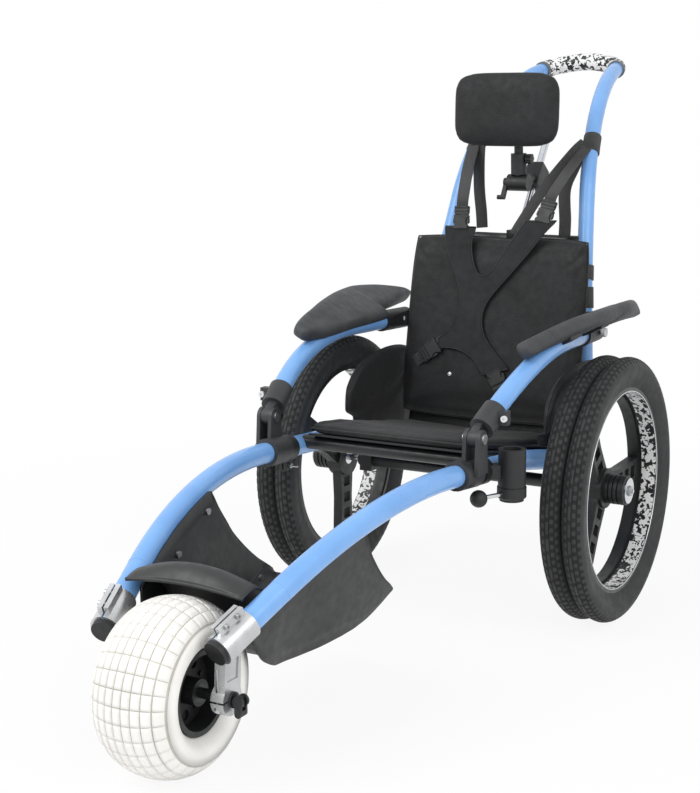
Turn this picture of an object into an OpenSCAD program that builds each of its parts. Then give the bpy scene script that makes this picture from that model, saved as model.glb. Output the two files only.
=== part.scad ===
// Beach wheelchair with twin rear tyres, a wide front tyre, a folding backrest and lifting armrests.
// Millimetres, +Z up, the front wheel toward -Y, the user's left at +X, floor at Z = 0.

/* [Wheels] */
// Distance between the front and rear axles
wheelbase = 988; // [850:5:1150]
// Rear tyre diameter
rear_d = 500; // [440:5:560]
// Sideways distance from the middle plane to a rear wheel's middle
wheel_x = 297; // [270:1:330]
// Front tyre diameter
front_d = 268; // [240:2:290]
// Front tyre width
front_w = 140; // [110:2:148]
// Width of one rear tyre
tyre_w = 41.6; // [34:0.2:41.6]
// Rear rim width
rim_w = 60; // [56:1:66]
// Number of circular grooves in the front tyre
groove_count = 9; // [5:2:11]

/* [Frame tubes] */
// Side rail diameter
rail_d = 37; // [34:0.5:38]
// Armrest tube diameter
arm_d = 34; // [30:0.5:35]
// Push bar diameter
bar_d = 31; // [27:0.5:32]
// Wall of the bent tubes
tube_wall = 2.5; // [1.5:0.5:4]
// Rear axle tube diameter
axle_tube_d = 26; // [24:1:30]
// Front axle diameter
front_axle_d = 16; // [14:0.5:18]
// Stub axle diameter
stub_d = 12.7; // [11:0.1:13]

/* [Seat and pads] */
// Seat cushion thickness at its edge
seat_t = 30; // [20:1:34]
// Back panel thickness at its edge
panel_t = 40; // [26:1:44]
// Headrest pad width
head_w = 226; // [180:2:250]
// Headrest pad height
head_h = 146; // [120:2:160]
// Armrest pad length
pad_l = 508; // [400:4:520]
// Armrest pad width
pad_w = 95; // [75:1:100]

/* [Accessory socket] */
// Socket outer diameter
socket_d = 48; // [44:1:52]
// Socket bore diameter
socket_bore = 31.5; // [28:0.5:33]
// Socket height
socket_h = 66; // [50:1:70]

/* [Hidden] */
$fn = 64;
// clearance of pieces fixed to one another
fit = 0.05;
// clearance of pieces that turn on one another
run = 0.08;
// clearance of soft pieces from their seats
seat_gap = 0.3;
// overshoot of cutting shapes
over = 1;
// length by which a bend laps over a straight run, and how far it stands proud
lap = 0.6;
proud_share = 0.018;
// plain plate thickness
sheet = 4;
rail_r = rail_d / 2;
arm_r = arm_d / 2;
bar_r = bar_d / 2;
stub_r = stub_d / 2;
faxle_r = front_axle_d / 2;
atube_r = axle_tube_d / 2;
rear_r = rear_d / 2;
front_r = front_d / 2;
// point tables: shares of wheel_x, wheelbase and rear_d, measured from the rear axle on the floor
rail_shares = [[0.3367, -1.0243, 0.426], [0.5926, -0.6883, 0.744], [0.6734, -0.2024, 0.668], [0.7273, 0.0202, 0.592], [0.7273, 0.1592, 0.766]];
rail_bend_shares = [0, 0.87, 0.4, 0.12, 0];
bar_shares = [[0.5993, 0.1822, 0.768], [0.5455, 0.2004, 1.192], [0.3973, 0.3269, 1.964], [0.27, 0.5951, 2.076], [0, 0.6134, 2.104]];
bar_bend_shares = [0, 0.9, 0.4, 0.042, 0.12];
arm_shares = [[0.7054, -0.3725, 0.864], [0.7946, -0.2115, 1.066], [0.7205, 0.0729, 1.056]];
arm_bend_shares = [0, 0.48, 0];
arm_pivot_shares = [0.6902, -0.4008, 0.824];
fold_shares = [0.5993, 0.1832, 0.796];
post_shares = [[0, 0.251, 1.4], [0, 0.3826, 1.764]];
socket_share = 0.8114;
// the rear reach of the grip sets the middle of the outline
bar_back_share = 0.6103;
grip_r = bar_r + tube_wall;
axle_y = (wheelbase + front_r - bar_back_share * wheelbase - grip_r) / 2;
front_y = axle_y - wheelbase;

function at(s) = [s[0] * wheel_x, axle_y + s[1] * wheelbase, s[2] * rear_d];
function mirrored(p) = [-p[0], p[1], p[2]];
function unit(v) = v / norm(v);
function mix(a, b, t) = a + (b - a) * t;
function turn(a, b, c) = acos(max(-1, min(1, unit(b - a) * unit(c - b))));
function trim(p, b, i) = i <= 0 || i >= len(p) - 1 ? 0 : b[i] * tan(turn(p[i - 1], p[i], p[i + 1]) / 2);
// point on a bend between the runs a-b and b-c: f is the share of the bend that is passed
function bend_at(a, b, c, rb, f) =
    let (u = unit(a - b), w = unit(c - b), half = acos(u * w) / 2, sweep = 180 - 2 * half,
        o = b + unit(u + w) * rb / sin(half), e = unit(b + u * rb / tan(half) - o))
    o + (e * cos(sweep * f) - u * sin(sweep * f)) * rb;
function longer(p) = [for (i = [0 : len(p) - 1])
    i == 0 ? p[0] - unit(p[1] - p[0]) * over
    : i == len(p) - 1 ? p[i] + unit(p[i] - p[i - 1]) * over : p[i]];

rail = [for (s = rail_shares) at(s)];
rail_bends = [for (s = rail_bend_shares) s * wheelbase];
bar_half = [for (s = bar_shares) at(s)];
bar = concat(bar_half, [for (i = [3 : -1 : 0]) mirrored(bar_half[i])]);
bar_bends = [for (i = [0 : 8]) bar_bend_shares[i < 5 ? i : 8 - i] * wheelbase];
arm = [for (s = arm_shares) at(s)];
arm_bends = [for (s = arm_bend_shares) s * wheelbase];
arm_pivot = at(arm_pivot_shares);
fold = at(fold_shares);
post = [for (s = post_shares) at(s)];
// middle lines of the side rail's front and of the armrest tube, by their places along the chair
rail_line = concat([rail[0]], [for (f = [0 : 0.125 : 1]) bend_at(rail[0], rail[1], rail[2], rail_bends[1], f)], [rail[2]]);
arm_line = concat([arm[0]], [for (f = [0 : 0.1 : 1]) bend_at(arm[0], arm[1], arm[2], arm_bends[1], f)], [arm[2]]);
function line_x(line, y) = lookup(y, [for (p = line) [p[1], p[0]]]);
function line_z(line, y) = lookup(y, [for (p = line) [p[1], p[2]]]);

// basic shapes
module along(a, b) {
    v = b - a;
    translate(a) rotate([0, acos(v[2] / norm(v)), atan2(v[1], v[0])]) children();
}
module rod(a, b, r) {
    along(a, b) cylinder(h = norm(b - a), r = r);
}
module ring(a, b, r, hole) {
    difference() {
        rod(a, b, r);
        rod(a - unit(b - a) * over, b + unit(b - a) * over, hole);
    }
}
// bend between two straight runs; it laps over them and stands a hair proud of them
module elbow(a, b, c, rb, r) {
    u = unit(a - b);
    w = unit(c - b);
    half = acos(u * w) / 2;
    o = b + unit(u + w) * rb / sin(half);
    e = unit(b + u * rb / tan(half) - o);
    n = cross(e, -u);
    more = atan(lap / rb);
    multmatrix([[e[0], -u[0], n[0], o[0]], [e[1], -u[1], n[1], o[1]], [e[2], -u[2], n[2], o[2]], [0, 0, 0, 1]])
        rotate([0, 0, -more]) rotate_extrude(angle = 180 - 2 * half + 2 * more)
            translate([rb, 0]) circle(r = r * (1 + proud_share));
}
module path(p, b, r) {
    for (i = [0 : len(p) - 2]) {
        d = unit(p[i + 1] - p[i]);
        rod(p[i] + d * max(0, trim(p, b, i) - lap), p[i + 1] - d * max(0, trim(p, b, i + 1) - lap), r);
    }
    for (i = [1 : len(p) - 2]) elbow(p[i - 1], p[i], p[i + 1], b[i], r);
}
module tube(p, b, r, t) {
    difference() {
        path(p, b, r);
        path(longer(p), b, r - t);
    }
}
// cylinder along X from x0 to x1 at height z and depth y
module pin_x(x0, x1, y, z, r) {
    translate([x0, y, z]) rotate([0, 90, 0]) cylinder(h = x1 - x0, r = r);
}
// flat profile of [y, z] points, given thickness along X
module plate_x(x0, x1, pts) {
    translate([x0, 0, 0]) rotate([90, 0, 90]) linear_extrude(height = x1 - x0) polygon(pts);
}
module flip() {
    mirror([1, 0, 0]) children();
}
module both() {
    children();
    flip() children();
}
// closed solid between two equal grids of points
module skin(a, b) {
    n = len(a);
    m = len(a[0]);
    k = n * m;
    function id(i, j) = i * m + j;
    polyhedron(
        points = concat([for (r = a) for (p = r) p], [for (r = b) for (p = r) p]),
        faces = concat(
            [for (i = [0 : n - 2]) for (j = [0 : m - 2]) [id(i, j), id(i, j + 1), id(i + 1, j + 1)]],
            [for (i = [0 : n - 2]) for (j = [0 : m - 2]) [id(i, j), id(i + 1, j + 1), id(i + 1, j)]],
            [for (i = [0 : n - 2]) for (j = [0 : m - 2]) [k + id(i, j), k + id(i + 1, j + 1), k + id(i, j + 1)]],
            [for (i = [0 : n - 2]) for (j = [0 : m - 2]) [k + id(i, j), k + id(i + 1, j), k + id(i + 1, j + 1)]],
            [for (i = [0 : n - 2]) [id(i, 0), id(i + 1, 0), k + id(i + 1, 0)]],
            [for (i = [0 : n - 2]) [id(i, 0), k + id(i + 1, 0), k + id(i, 0)]],
            [for (i = [0 : n - 2]) [id(i + 1, m - 1), id(i, m - 1), k + id(i, m - 1)]],
            [for (i = [0 : n - 2]) [id(i + 1, m - 1), k + id(i, m - 1), k + id(i + 1, m - 1)]],
            [for (j = [0 : m - 2]) [id(0, j + 1), id(0, j), k + id(0, j)]],
            [for (j = [0 : m - 2]) [id(0, j + 1), k + id(0, j), k + id(0, j + 1)]],
            [for (j = [0 : m - 2]) [id(n - 1, j), id(n - 1, j + 1), k + id(n - 1, j + 1)]],
            [for (j = [0 : m - 2]) [id(n - 1, j), k + id(n - 1, j + 1), k + id(n - 1, j)]]));
}
// padded block: c middle, x y z directions, half sizes, edge thickness, crown on both faces, corner rounding,
// seam depth and how sharply the corners turn
module pillow(c, x, y, z, hx, hy, edge, crown, corner, n, m, groove = 0, bend = 2) {
    function u(i) = 2 * i / n - 1;
    function v(j) = 2 * j / m - 1;
    function flat(i, j) = c + x * hx * u(i) * sqrt(1 - corner * pow(abs(v(j)), bend) / 2)
        + y * hy * v(j) * sqrt(1 - corner * pow(abs(u(i)), bend) / 2);
    function bulge(i, j) = crown * (1 - pow(u(i), 4)) * (1 - pow(v(j), 4))
        - groove * exp(-pow((abs(v(j)) - 0.5) / 0.08, 2)) * (1 - pow(u(i), 4));
    skin([for (i = [0 : n]) [for (j = [0 : m]) flat(i, j) + z * (edge / 2 + bulge(i, j))]],
        [for (i = [0 : n]) [for (j = [0 : m]) flat(i, j) - z * (edge / 2 + crown * (1 - pow(u(i), 4)) * (1 - pow(v(j), 4)))]]);
}
// flat band of width w along s, thickness t, through the points p
module band(p, s, w, t) {
    function dir(i) = unit(p[min(i + 1, len(p) - 1)] - p[max(i - 1, 0)]);
    function across(i) = unit(s - dir(i) * (s * dir(i)));
    function up(i) = unit(cross(dir(i), across(i)));
    skin([for (i = [0 : len(p) - 1]) [for (e = [-1, 1]) p[i] + across(i) * e * w / 2 + up(i) * t / 2]],
        [for (i = [0 : len(p) - 1]) [for (e = [-1, 1]) p[i] + across(i) * e * w / 2 - up(i) * t / 2]]);
}

// chassis sizes
fork_wall = 5;
fork_r = rail_r + fork_wall;
fork_len = 60;
fork_gap = 14;
fork_t = 22;
fork_x0 = front_w / 2 + fork_gap;
fork_x1 = fork_x0 + fork_t;
boss_r = 24;
lug_h = 11;
lug_w = 18;
slit = 3;
screw_r = 2.5;
head_r = 4.6;
head_t = 4;
fork_dir = unit(rail[1] - rail[0]);
plug_t = 8;
plug_lip = 1;
lever_gap = 14;
lever_x = fork_x1 + lever_gap;
tongue = 4;
cheek = 9;
eye_r = 15;
ear_r = 16;
ear_t = 7;
eye_half = 8;
bolt_r = 5;
bolt_head = 9;
knuckle_wall = 7;
knuckle_r = rail_r + knuckle_wall;
knuckle_half = 30;
function on_rail(t) = mix(rail[1], rail[2], t);
knuckle_share = 0.573;
knuckle_at = on_rail(knuckle_share);
rail_dir = unit(rail[2] - rail[1]);
cross_r = 13;

module side_rails() {
    color("LightSteelBlue") both() tube(rail, rail_bends, rail_r, tube_wall);
}
module sleeve_frame() {
    along(rail[0], rail[1]) children();
}
module fork_arm() {
    color("Silver") difference() {
        union() {
            rod(rail[0] + fork_dir * fit, rail[0] + fork_dir * (sheet + fork_len), fork_r);
            sleeve_frame() translate([-fork_r - lug_h, -lug_w / 2, sheet + sheet])
                cube([lug_h * 2, lug_w, fork_len - sheet * 2]);
            pin_x(fork_x0, fork_x1, front_y, front_r, boss_r);
            plate_x(fork_x0 + sheet, fork_x1, [
                [front_y - boss_r * 0.85, front_r], [front_y + boss_r * 0.85, front_r],
                [front_y + boss_r * 1.1, front_r + boss_r * 4], [front_y - boss_r * 0.6, front_r + boss_r * 3.4]]);
        }
        rod(rail[0] - fork_dir * fork_len, rail[0] + fork_dir * fork_len * 3, rail_r + fit);
        rod(rail[0] - fork_dir * fork_len, rail[0] + fork_dir * fit, rail_r + plug_lip + fit);
        pin_x(fork_x0 - over, fork_x1 + over, front_y, front_r, faxle_r + fit);
        sleeve_frame() translate([-fork_r - lug_h * 2, -slit / 2, -fork_len])
            cube([lug_h * 2 + fork_r, slit, fork_len * 3]);
        translate([fork_x0 - over, front_y - boss_r - over, front_r - slit / 2])
            cube([fork_x1, boss_r + over, slit]);
        plate_x(fork_x1 - sheet / 2, fork_x1 + over, [
            [front_y - boss_r * 0.5, front_r + boss_r * 1.2], [front_y + boss_r * 0.6, front_r + boss_r * 1.2],
            [front_y + boss_r * 0.75, front_r + boss_r * 2.5], [front_y - boss_r * 0.3, front_r + boss_r * 2.5]]);
        for (s = [0.3, 0.7]) sleeve_frame() translate([-fork_r - lug_h / 2, -lug_w, sheet + fork_len * s])
            rotate([-90, 0, 0]) cylinder(h = lug_w * 2, r = screw_r + fit);
        translate([fork_x0 + eye_half, front_y - boss_r * 0.72, front_r - boss_r * 2])
            cylinder(h = boss_r * 4, r = screw_r + fit);
        translate([fork_x0 + eye_half, front_y - boss_r * 0.72, front_r - boss_r * 2])
            cylinder(h = boss_r * 2 - sheet * 2, r = head_r + over);
    }
}
module fork_arms() {
    both() fork_arm();
}
module fork_screws() {
    color("Gainsboro") both() {
        for (s = [0.3, 0.7]) sleeve_frame() translate([-fork_r - lug_h / 2, 0, sheet + fork_len * s])
            rotate([-90, 0, 0]) union() {
                translate([0, 0, -lug_w / 2 - head_t / 2]) cylinder(h = lug_w + head_t / 2, r = screw_r);
                translate([0, 0, -lug_w / 2 - head_t]) difference() {
                    cylinder(h = head_t - fit, r = head_r);
                    translate([0, 0, -over]) cylinder(h = head_t / 2 + over, r = screw_r, $fn = 6);
                }
            }
        translate([fork_x0 + eye_half, front_y - boss_r * 0.72, front_r - sheet * 2]) union() {
            translate([0, 0, -head_t / 2]) cylinder(h = sheet * 4, r = screw_r);
            translate([0, 0, -head_t - fit]) cylinder(h = head_t, r = head_r);
        }
    }
}
module rail_plugs() {
    color("DimGray") both() union() {
        rod(rail[0] - fork_dir * plug_t, rail[0] - fork_dir * fit, rail_r + plug_lip);
        rod(rail[0] - fork_dir * plug_t / 2, rail[0] + fork_dir * plug_t * 2, rail_r - tube_wall - fit);
    }
}
module front_axle() {
    color("DarkGray") union() {
            pin_x(-fork_x1 - sheet, fork_x1 + sheet / 2, front_y, front_r, faxle_r);
            pin_x(-fork_x1 - plug_t, -fork_x1 - fit, front_y, front_r, faxle_r + sheet);
            pin_x(fork_x1 + fit, fork_x1 + sheet, front_y, front_r, faxle_r + sheet);
            translate([fork_x1, front_y - tongue, front_r - eye_half]) cube([lever_x - fork_x1 + sheet, tongue * 2, eye_half * 2]);
            translate([lever_x, front_y - cheek, front_r]) rotate([-90, 0, 0]) cylinder(h = cheek * 2, r = screw_r);
    }
}
module axle_lever() {
    drum_r = 9;
    arm_top = 13;
    arm_low = 27;
    color("Black") difference() {
        union() {
            translate([lever_x, front_y - cheek, front_r]) rotate([-90, 0, 0]) cylinder(h = cheek * 2, r = drum_r);
            translate([lever_x - drum_r * 0.6, front_y - cheek, front_r - arm_low + drum_r])
                cube([drum_r * 1.2, cheek * 2, arm_low - drum_r]);
            translate([lever_x, front_y - cheek, front_r - arm_low + drum_r]) rotate([-90, 0, 0])
                cylinder(h = cheek * 2, r = drum_r * 0.6);
        }
        translate([lever_x - drum_r * 2, front_y - tongue - fit * 8, front_r - arm_top])
            cube([drum_r * 4, (tongue + fit * 8) * 2, arm_top + drum_r + over]);
        translate([lever_x, front_y - cheek - over, front_r]) rotate([-90, 0, 0])
            cylinder(h = cheek * 2 + over * 2, r = screw_r + run);
    }
}

// front wheel
tread_r = 100;
bead_r = 60;
rim_half = front_w * 0.36;
hub_r = 20;
groove = 4;
bearing_r = 14;
module front_tyre() {
    color("WhiteSmoke") translate([0, front_y, front_r]) rotate([0, 90, 0]) rotate_extrude() difference() {
        intersection() {
            translate([front_r - tread_r, 0]) circle(r = tread_r);
            union() {
                translate([bead_r + fit, -rim_half]) square([front_r, rim_half * 2]);
                translate([bead_r + plug_t, -front_w / 2]) square([front_r, front_w]);
            }
        }
        for (i = [0 : groove_count - 1]) translate([
            front_r - groove - pow((i - (groove_count - 1) / 2) / groove_count, 2) * tread_r * 0.85,
            (i - (groove_count - 1) / 2) * front_w * 0.92 / groove_count - groove / 2])
            square([front_r, groove]);
    }
}
module front_rim() {
    lip = 4;
    dish = rim_half * 0.45;
    color("Black") translate([0, front_y, front_r]) rotate([0, 90, 0]) difference() {
        rotate_extrude() union() {
            translate([bead_r - sheet, -rim_half - lip]) square([sheet, (rim_half + lip) * 2]);
            translate([bead_r - sheet, rim_half + fit]) square([sheet + lip, lip]);
            translate([bead_r - sheet, -rim_half - fit - lip]) square([sheet + lip, lip]);
            translate([hub_r - over, -dish]) square([bead_r - hub_r, dish * 2]);
            translate([bearing_r + fit, -rim_half]) square([hub_r - bearing_r, rim_half * 2]);
            translate([faxle_r + over, -dish / 2]) square([hub_r - faxle_r - over, dish]);
        }
        for (a = [0 : 72 : 359]) rotate([0, 0, a + 36]) translate([(hub_r + bead_r) / 2, 0, -dish - over])
            cylinder(h = (dish + over) * 2, r = screw_r + fit);
        for (a = [0 : 72 : 359]) rotate([0, 0, a]) translate([(hub_r + bead_r) / 2, 0, dish - sheet])
            cylinder(h = dish, r = hub_r * 0.4);
        for (a = [0 : 72 : 359]) rotate([0, 0, a]) translate([(hub_r + bead_r) / 2, 0, -dish * 2 + sheet])
            cylinder(h = dish, r = hub_r * 0.4);
    }
}
module rim_bolts() {
    dish = rim_half * 0.45;
    color("Gainsboro") translate([0, front_y, front_r]) rotate([0, 90, 0])
        for (a = [0 : 72 : 359]) rotate([0, 0, a + 36]) translate([(hub_r + bead_r) / 2, 0, 0]) union() {
            translate([0, 0, -dish - head_t / 2]) cylinder(h = dish * 2 + head_t, r = screw_r);
            for (s = [0, 1]) mirror([0, 0, s]) translate([0, 0, dish + fit]) cylinder(h = head_t, r = head_r, $fn = 6);
        }
}
module front_fittings() {
    rim_bolts();
    front_bearings();
}
module front_bearings() {
    dish = rim_half * 0.45;
    color("Silver") both() ring([dish / 2 + fit, front_y, front_r], [rim_half, front_y, front_r], bearing_r, faxle_r + run);
}

// rear wheels, drawn for the left side
rim_r = rear_r * 0.744;
rim_t = 5;
flange_h = 13;
seat_r = rim_r + rim_t;
flange_r = rim_r + flange_h;
ridge = 4;
flange_t = 3;
tyre_gap = 0.4;
band_t = 1.2;
rim_half_r = rim_w / 2;
hub_rr = 28;
spoke_x = [-rim_w * 0.46, -rim_w * 0.1];
hub_in = -rim_w * 0.54;
hub_out = rim_w * 0.62;
module wheel_frame(a) {
    translate([wheel_x, axle_y, rear_r]) rotate([a, 0, 0]) rotate([0, 90, 0]) children();
}
module tyre_ring() {
    crown = tyre_w / 2 - tyre_gap / 2;
    rotate_extrude() difference() {
        union() {
            translate([rear_r - crown, tyre_w / 2]) circle(r = crown);
            translate([seat_r + fit, ridge + fit]) square([rear_r - seat_r - crown, rim_half_r - flange_t - ridge - fit * 2]);
        }
        for (s = [-0.42, 0, 0.42]) translate([rear_r - crown + crown * cos(asin(s)) - slit / 2, tyre_w / 2 + crown * s - slit / 2])
            square([slit * 2, slit]);
    }
}
module tyres_left() {
    color("DarkSlateGray") wheel_frame(0) union() {
        tyre_ring();
        mirror([0, 0, 1]) tyre_ring();
    }
}
module tyres_right() {
    flip() tyres_left();
}
module wheel_rim_left() {
    color("Black") wheel_frame(0) rotate_extrude() union() {
        translate([rim_r, -rim_half_r]) square([seat_r - rim_r, rim_w]);
        translate([rim_r, rim_half_r - flange_t]) square([flange_r - rim_r, flange_t]);
        translate([rim_r, -rim_half_r]) square([flange_r - rim_r, flange_t]);
        translate([rim_r, -ridge]) square([flange_r - rim_r - flange_t, ridge * 2]);
    }
}
module wheel_rim_right() {
    flip() wheel_rim_left();
}
module spider(a) {
    ring_t = 5;
    inset = 1;
    win_shares = [0.22, 0.4, 0.58, 0.76];
    web = 3;
    color("DimGray") wheel_frame(a) difference() {
        union() {
            difference() {
                translate([0, 0, spoke_x[0]]) cylinder(h = spoke_x[1] - spoke_x[0], r = rim_r - fit);
                translate([0, 0, spoke_x[0] - over]) cylinder(h = rim_w, r = rim_r - ring_t);
            }
            for (k = [0, 120, 240]) rotate([0, 0, k]) translate([0, 0, spoke_x[0] + inset])
                linear_extrude(height = spoke_x[1] - spoke_x[0] - inset * 2) polygon([
                    [hub_rr * 0.5, -hub_rr * 0.9], [hub_rr * 0.5, hub_rr * 0.9],
                    [rim_r * 0.45, hub_rr * 0.72], [rim_r - ring_t / 2, hub_rr * 0.85],
                    [rim_r - ring_t / 2, -hub_rr * 0.85], [rim_r * 0.45, -hub_rr * 0.72]]);
            translate([0, 0, hub_in]) cylinder(h = hub_out - hub_in, r = hub_rr);
            translate([0, 0, hub_in]) cylinder(h = spoke_x[1] - hub_in + sheet, r = hub_rr * 1.35);
        }
        for (k = [0, 120, 240]) for (s = win_shares) rotate([0, 0, k])
            translate([rim_r * s, -hub_rr * 0.42, spoke_x[0] - over]) cube([rim_r * 0.11, hub_rr * 0.84, rim_w]);
        translate([0, 0, hub_in - over]) cylinder(h = bearing_r * 0.7 + over, r = bearing_r + fit);
        translate([0, 0, hub_out - bearing_r * 0.7]) cylinder(h = bearing_r, r = bearing_r + fit);
        translate([0, 0, hub_in - over]) cylinder(h = rim_w * 2, r = stub_r + over);
        for (s = [0.3, 0.5, 0.7]) translate([0, 0, mix(spoke_x[1], hub_out, s)]) difference() {
            cylinder(h = slit, r = hub_rr + over);
            translate([0, 0, -over]) cylinder(h = slit + over * 2, r = hub_rr - slit);
        }
    }
}
module spider_left() {
    spider(90);
}
module spider_right() {
    flip() spider(0);
}
module hub_ring_left() {
    color("Silver") wheel_frame(0) translate([0, 0, hub_out + fit]) difference() {
        cylinder(h = sheet, r = hub_rr * 0.86);
        translate([0, 0, -over]) cylinder(h = sheet + over * 2, r = stub_r + sheet);
    }
}
module bearings_left() {
    h = bearing_r * 0.7;
    color("Gainsboro") wheel_frame(0) for (z = [hub_in, hub_out - h]) translate([0, 0, z]) difference() {
        cylinder(h = h, r = bearing_r);
        translate([0, 0, -over]) cylinder(h = h + over * 2, r = stub_r + run);
    }
}
module hub_metal_left() {
    hub_ring_left();
    bearings_left();
}
module hub_metal_right() {
    flip() hub_metal_left();
}

// rear axle
tube_end = wheel_x * 0.8;
button_r = 4;
button_t = 5;
press = 3;
stub_end = wheel_x + hub_out + plug_t;
module rear_axle_tube() {
    color("DarkSlateGray") difference() {
        pin_x(-tube_end, tube_end, axle_y, rear_r, atube_r);
        pin_x(-tube_end * 0.77, tube_end * 0.77, axle_y, rear_r, atube_r - tube_wall);
        pin_x(-tube_end - over, tube_end + over, axle_y, rear_r, stub_r + fit);
    }
}
module stub_axles() {
    color("Silver") both() difference() {
        union() {
            pin_x(tube_end * 0.78, stub_end, axle_y, rear_r, stub_r);
            pin_x(stub_end - sheet, stub_end, axle_y, rear_r, stub_r + sheet - over);
        }
        pin_x(stub_end - button_t * 3, stub_end + over, axle_y, rear_r, button_r + run);
    }
}
module button_left() {
    color("Black") pin_x(stub_end - button_t * 2, stub_end + press + over, axle_y, rear_r, button_r);
}
module button_right() {
    flip() button_left();
}
module axle_clamps() {
    w = 26;
    x = rail[3][0];
    color("Black") both() difference() {
        translate([x - w / 2, axle_y - w * 0.75, rear_r - w * 0.75]) cube([w, w * 1.5, rail[3][2] - rear_r + w * 0.7]);
        pin_x(0, wheel_x, axle_y, rear_r, atube_r + fit);
        path(rail, rail_bends, rail_r + fit);
    }
}
module hinge_blocks() {
    e = rail[4];
    d = unit(rail[4] - rail[3]);
    top = [e[0], fold[1], fold[2]];
    color("Black") both() difference() {
        union() {
            rod(e + d * fit, top + d * rail_r, rail_r);
            rod(e - d * plug_t * 2, e + d * plug_t, rail_r - tube_wall - fit);
        }
        pin_x(0, wheel_x, fold[1], fold[2], bolt_r + fit);
    }
}
module rear_castings() {
    axle_clamps();
    hinge_blocks();
}
module hinge_pins() {
    x0 = fold[0] - bar_r - over * 2;
    x1 = rail[4][0] + rail_r + over;
    color("Silver") both() union() {
        pin_x(x0, x1, fold[1], fold[2], bolt_r);
        pin_x(x0 - head_t, x0, fold[1], fold[2], bolt_head);
        pin_x(x1 - fit, x1 + head_t, fold[1], fold[2], bolt_head);
    }
}

// knuckles between the rails and the armrests
module knuckle() {
    p = arm_pivot;
    color("Black") difference() {
        union() {
            rod(knuckle_at - rail_dir * knuckle_half, knuckle_at + rail_dir * knuckle_half, knuckle_r);
            for (x = [p[0] - eye_half - slit / 6 - ear_t, p[0] + eye_half + slit / 6]) union() {
                pin_x(x, x + ear_t, p[1], p[2], ear_r);
                plate_x(x, x + ear_t, [[p[1] - ear_r, p[2]], [p[1] + ear_r, p[2]],
                    [p[1] + ear_r * 1.3, knuckle_at[2]], [p[1] - ear_r * 1.3, knuckle_at[2]]]);
            }
        }
        rod(on_rail(0), on_rail(1), rail_r + fit);
        pin_x(0, wheel_x, p[1], p[2], bolt_r + fit);
        translate([knuckle_at[0] - slit / 2, knuckle_at[1] - knuckle_half * 2, knuckle_at[2] - knuckle_r * 2])
            cube([slit, knuckle_half * 4, knuckle_r * 2]);
    }
}
module knuckles() {
    both() knuckle();
}
module pivot_bolts() {
    p = arm_pivot;
    w = eye_half + slit / 6 + ear_t;
    color("Gainsboro") both() union() {
        pin_x(p[0] - w - fit, p[0] + w + fit, p[1], p[2], bolt_r);
        pin_x(p[0] - w - head_t, p[0] - w - fit, p[1], p[2], bolt_head);
        pin_x(p[0] + w + fit, p[0] + w + head_t, p[1], p[2], bolt_head);
    }
}
module pivot_pins() {
    hinge_pins();
    pivot_bolts();
}
collar_share = 0.665;
collar_w = 22;
module rail_collar() {
    c = mirrored(on_rail(collar_share));
    d = unit(mirrored(rail[2]) - mirrored(rail[1]));
    w = collar_w;
    color("Black") difference() {
        union() {
            rod(c - d * w / 2, c + d * w / 2, rail_r + sheet + over);
            translate([c[0] - plug_t, c[1] - w / 2, c[2] - rail_r - w]) cube([plug_t * 2, w, w]);
        }
        rod(mirrored(on_rail(0)), mirrored(on_rail(1)), rail_r + fit);
        translate([c[0] - slit / 2, c[1] - w, c[2] - rail_r * 3]) cube([slit, w * 2, rail_r * 3]);
        pin_x(c[0] - w, c[0] + w, c[1], c[2] - rail_r - w * 0.6, screw_r + fit);
    }
}
module collar_screw() {
    c = mirrored(on_rail(collar_share));
    w = collar_w;
    z = c[2] - rail_r - w * 0.6;
    color("Gainsboro") union() {
        pin_x(c[0] - plug_t - head_t / 2, c[0] + plug_t + head_t / 2, c[1], z, screw_r);
        pin_x(c[0] + plug_t + fit, c[0] + plug_t + head_t, c[1], z, head_r);
        pin_x(c[0] - plug_t - head_t, c[0] - plug_t - fit, c[1], z, head_r);
        pin_x(c[0] + plug_t, c[0] + plug_t + w * 0.8, c[1], z, screw_r * 0.8);
    }
}

// accessory socket on the left rail, with its clamp cap and lever
ring_h = 22;
ring_wall = 1.5;
sleeve_wall = 2.2;
flange = 3;
rod_r = 4;
ball_r = 15;
lever_len = 75;
lever_turn = 246;
clamp_at = knuckle_at + rail_dir * knuckle_half * 1.75;
socket_at = [socket_share * wheel_x, clamp_at[1] + socket_d * 0.64, clamp_at[2] - socket_h * 0.425];
sleeve_rr = socket_bore / 2 + sleeve_wall;
module accessory_socket() {
    s = socket_at;
    k = clamp_at;
    arm_h = 22;
    d = unit([s[0] - k[0], s[1] - k[1]]) * arm_h / 2;
    color("Black") difference() {
        union() {
            translate(s) cylinder(h = socket_h, r = socket_d / 2);
            translate([s[0], s[1], s[2] - ring_h - flange]) cylinder(h = socket_h, r = sleeve_rr);
            translate([s[0], s[1], s[2] - ring_h - flange]) cylinder(h = flange, r = sleeve_rr + flange);
            rod(k - rail_dir * arm_h / 2, k + rail_dir * arm_h / 2, knuckle_r - over);
            translate([0, 0, k[2] - arm_h / 2]) linear_extrude(height = arm_h)
                polygon([[k[0] + d[1], k[1] - d[0]], [s[0] + d[1], s[1] - d[0]], [s[0] - d[1], s[1] + d[0]], [k[0] - d[1], k[1] + d[0]]]);
        }
        rod(on_rail(0), on_rail(1), rail_r + fit);
        translate([s[0], s[1], s[2] - socket_h]) cylinder(h = socket_h * 3, r = socket_bore / 2);
    }
}
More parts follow.
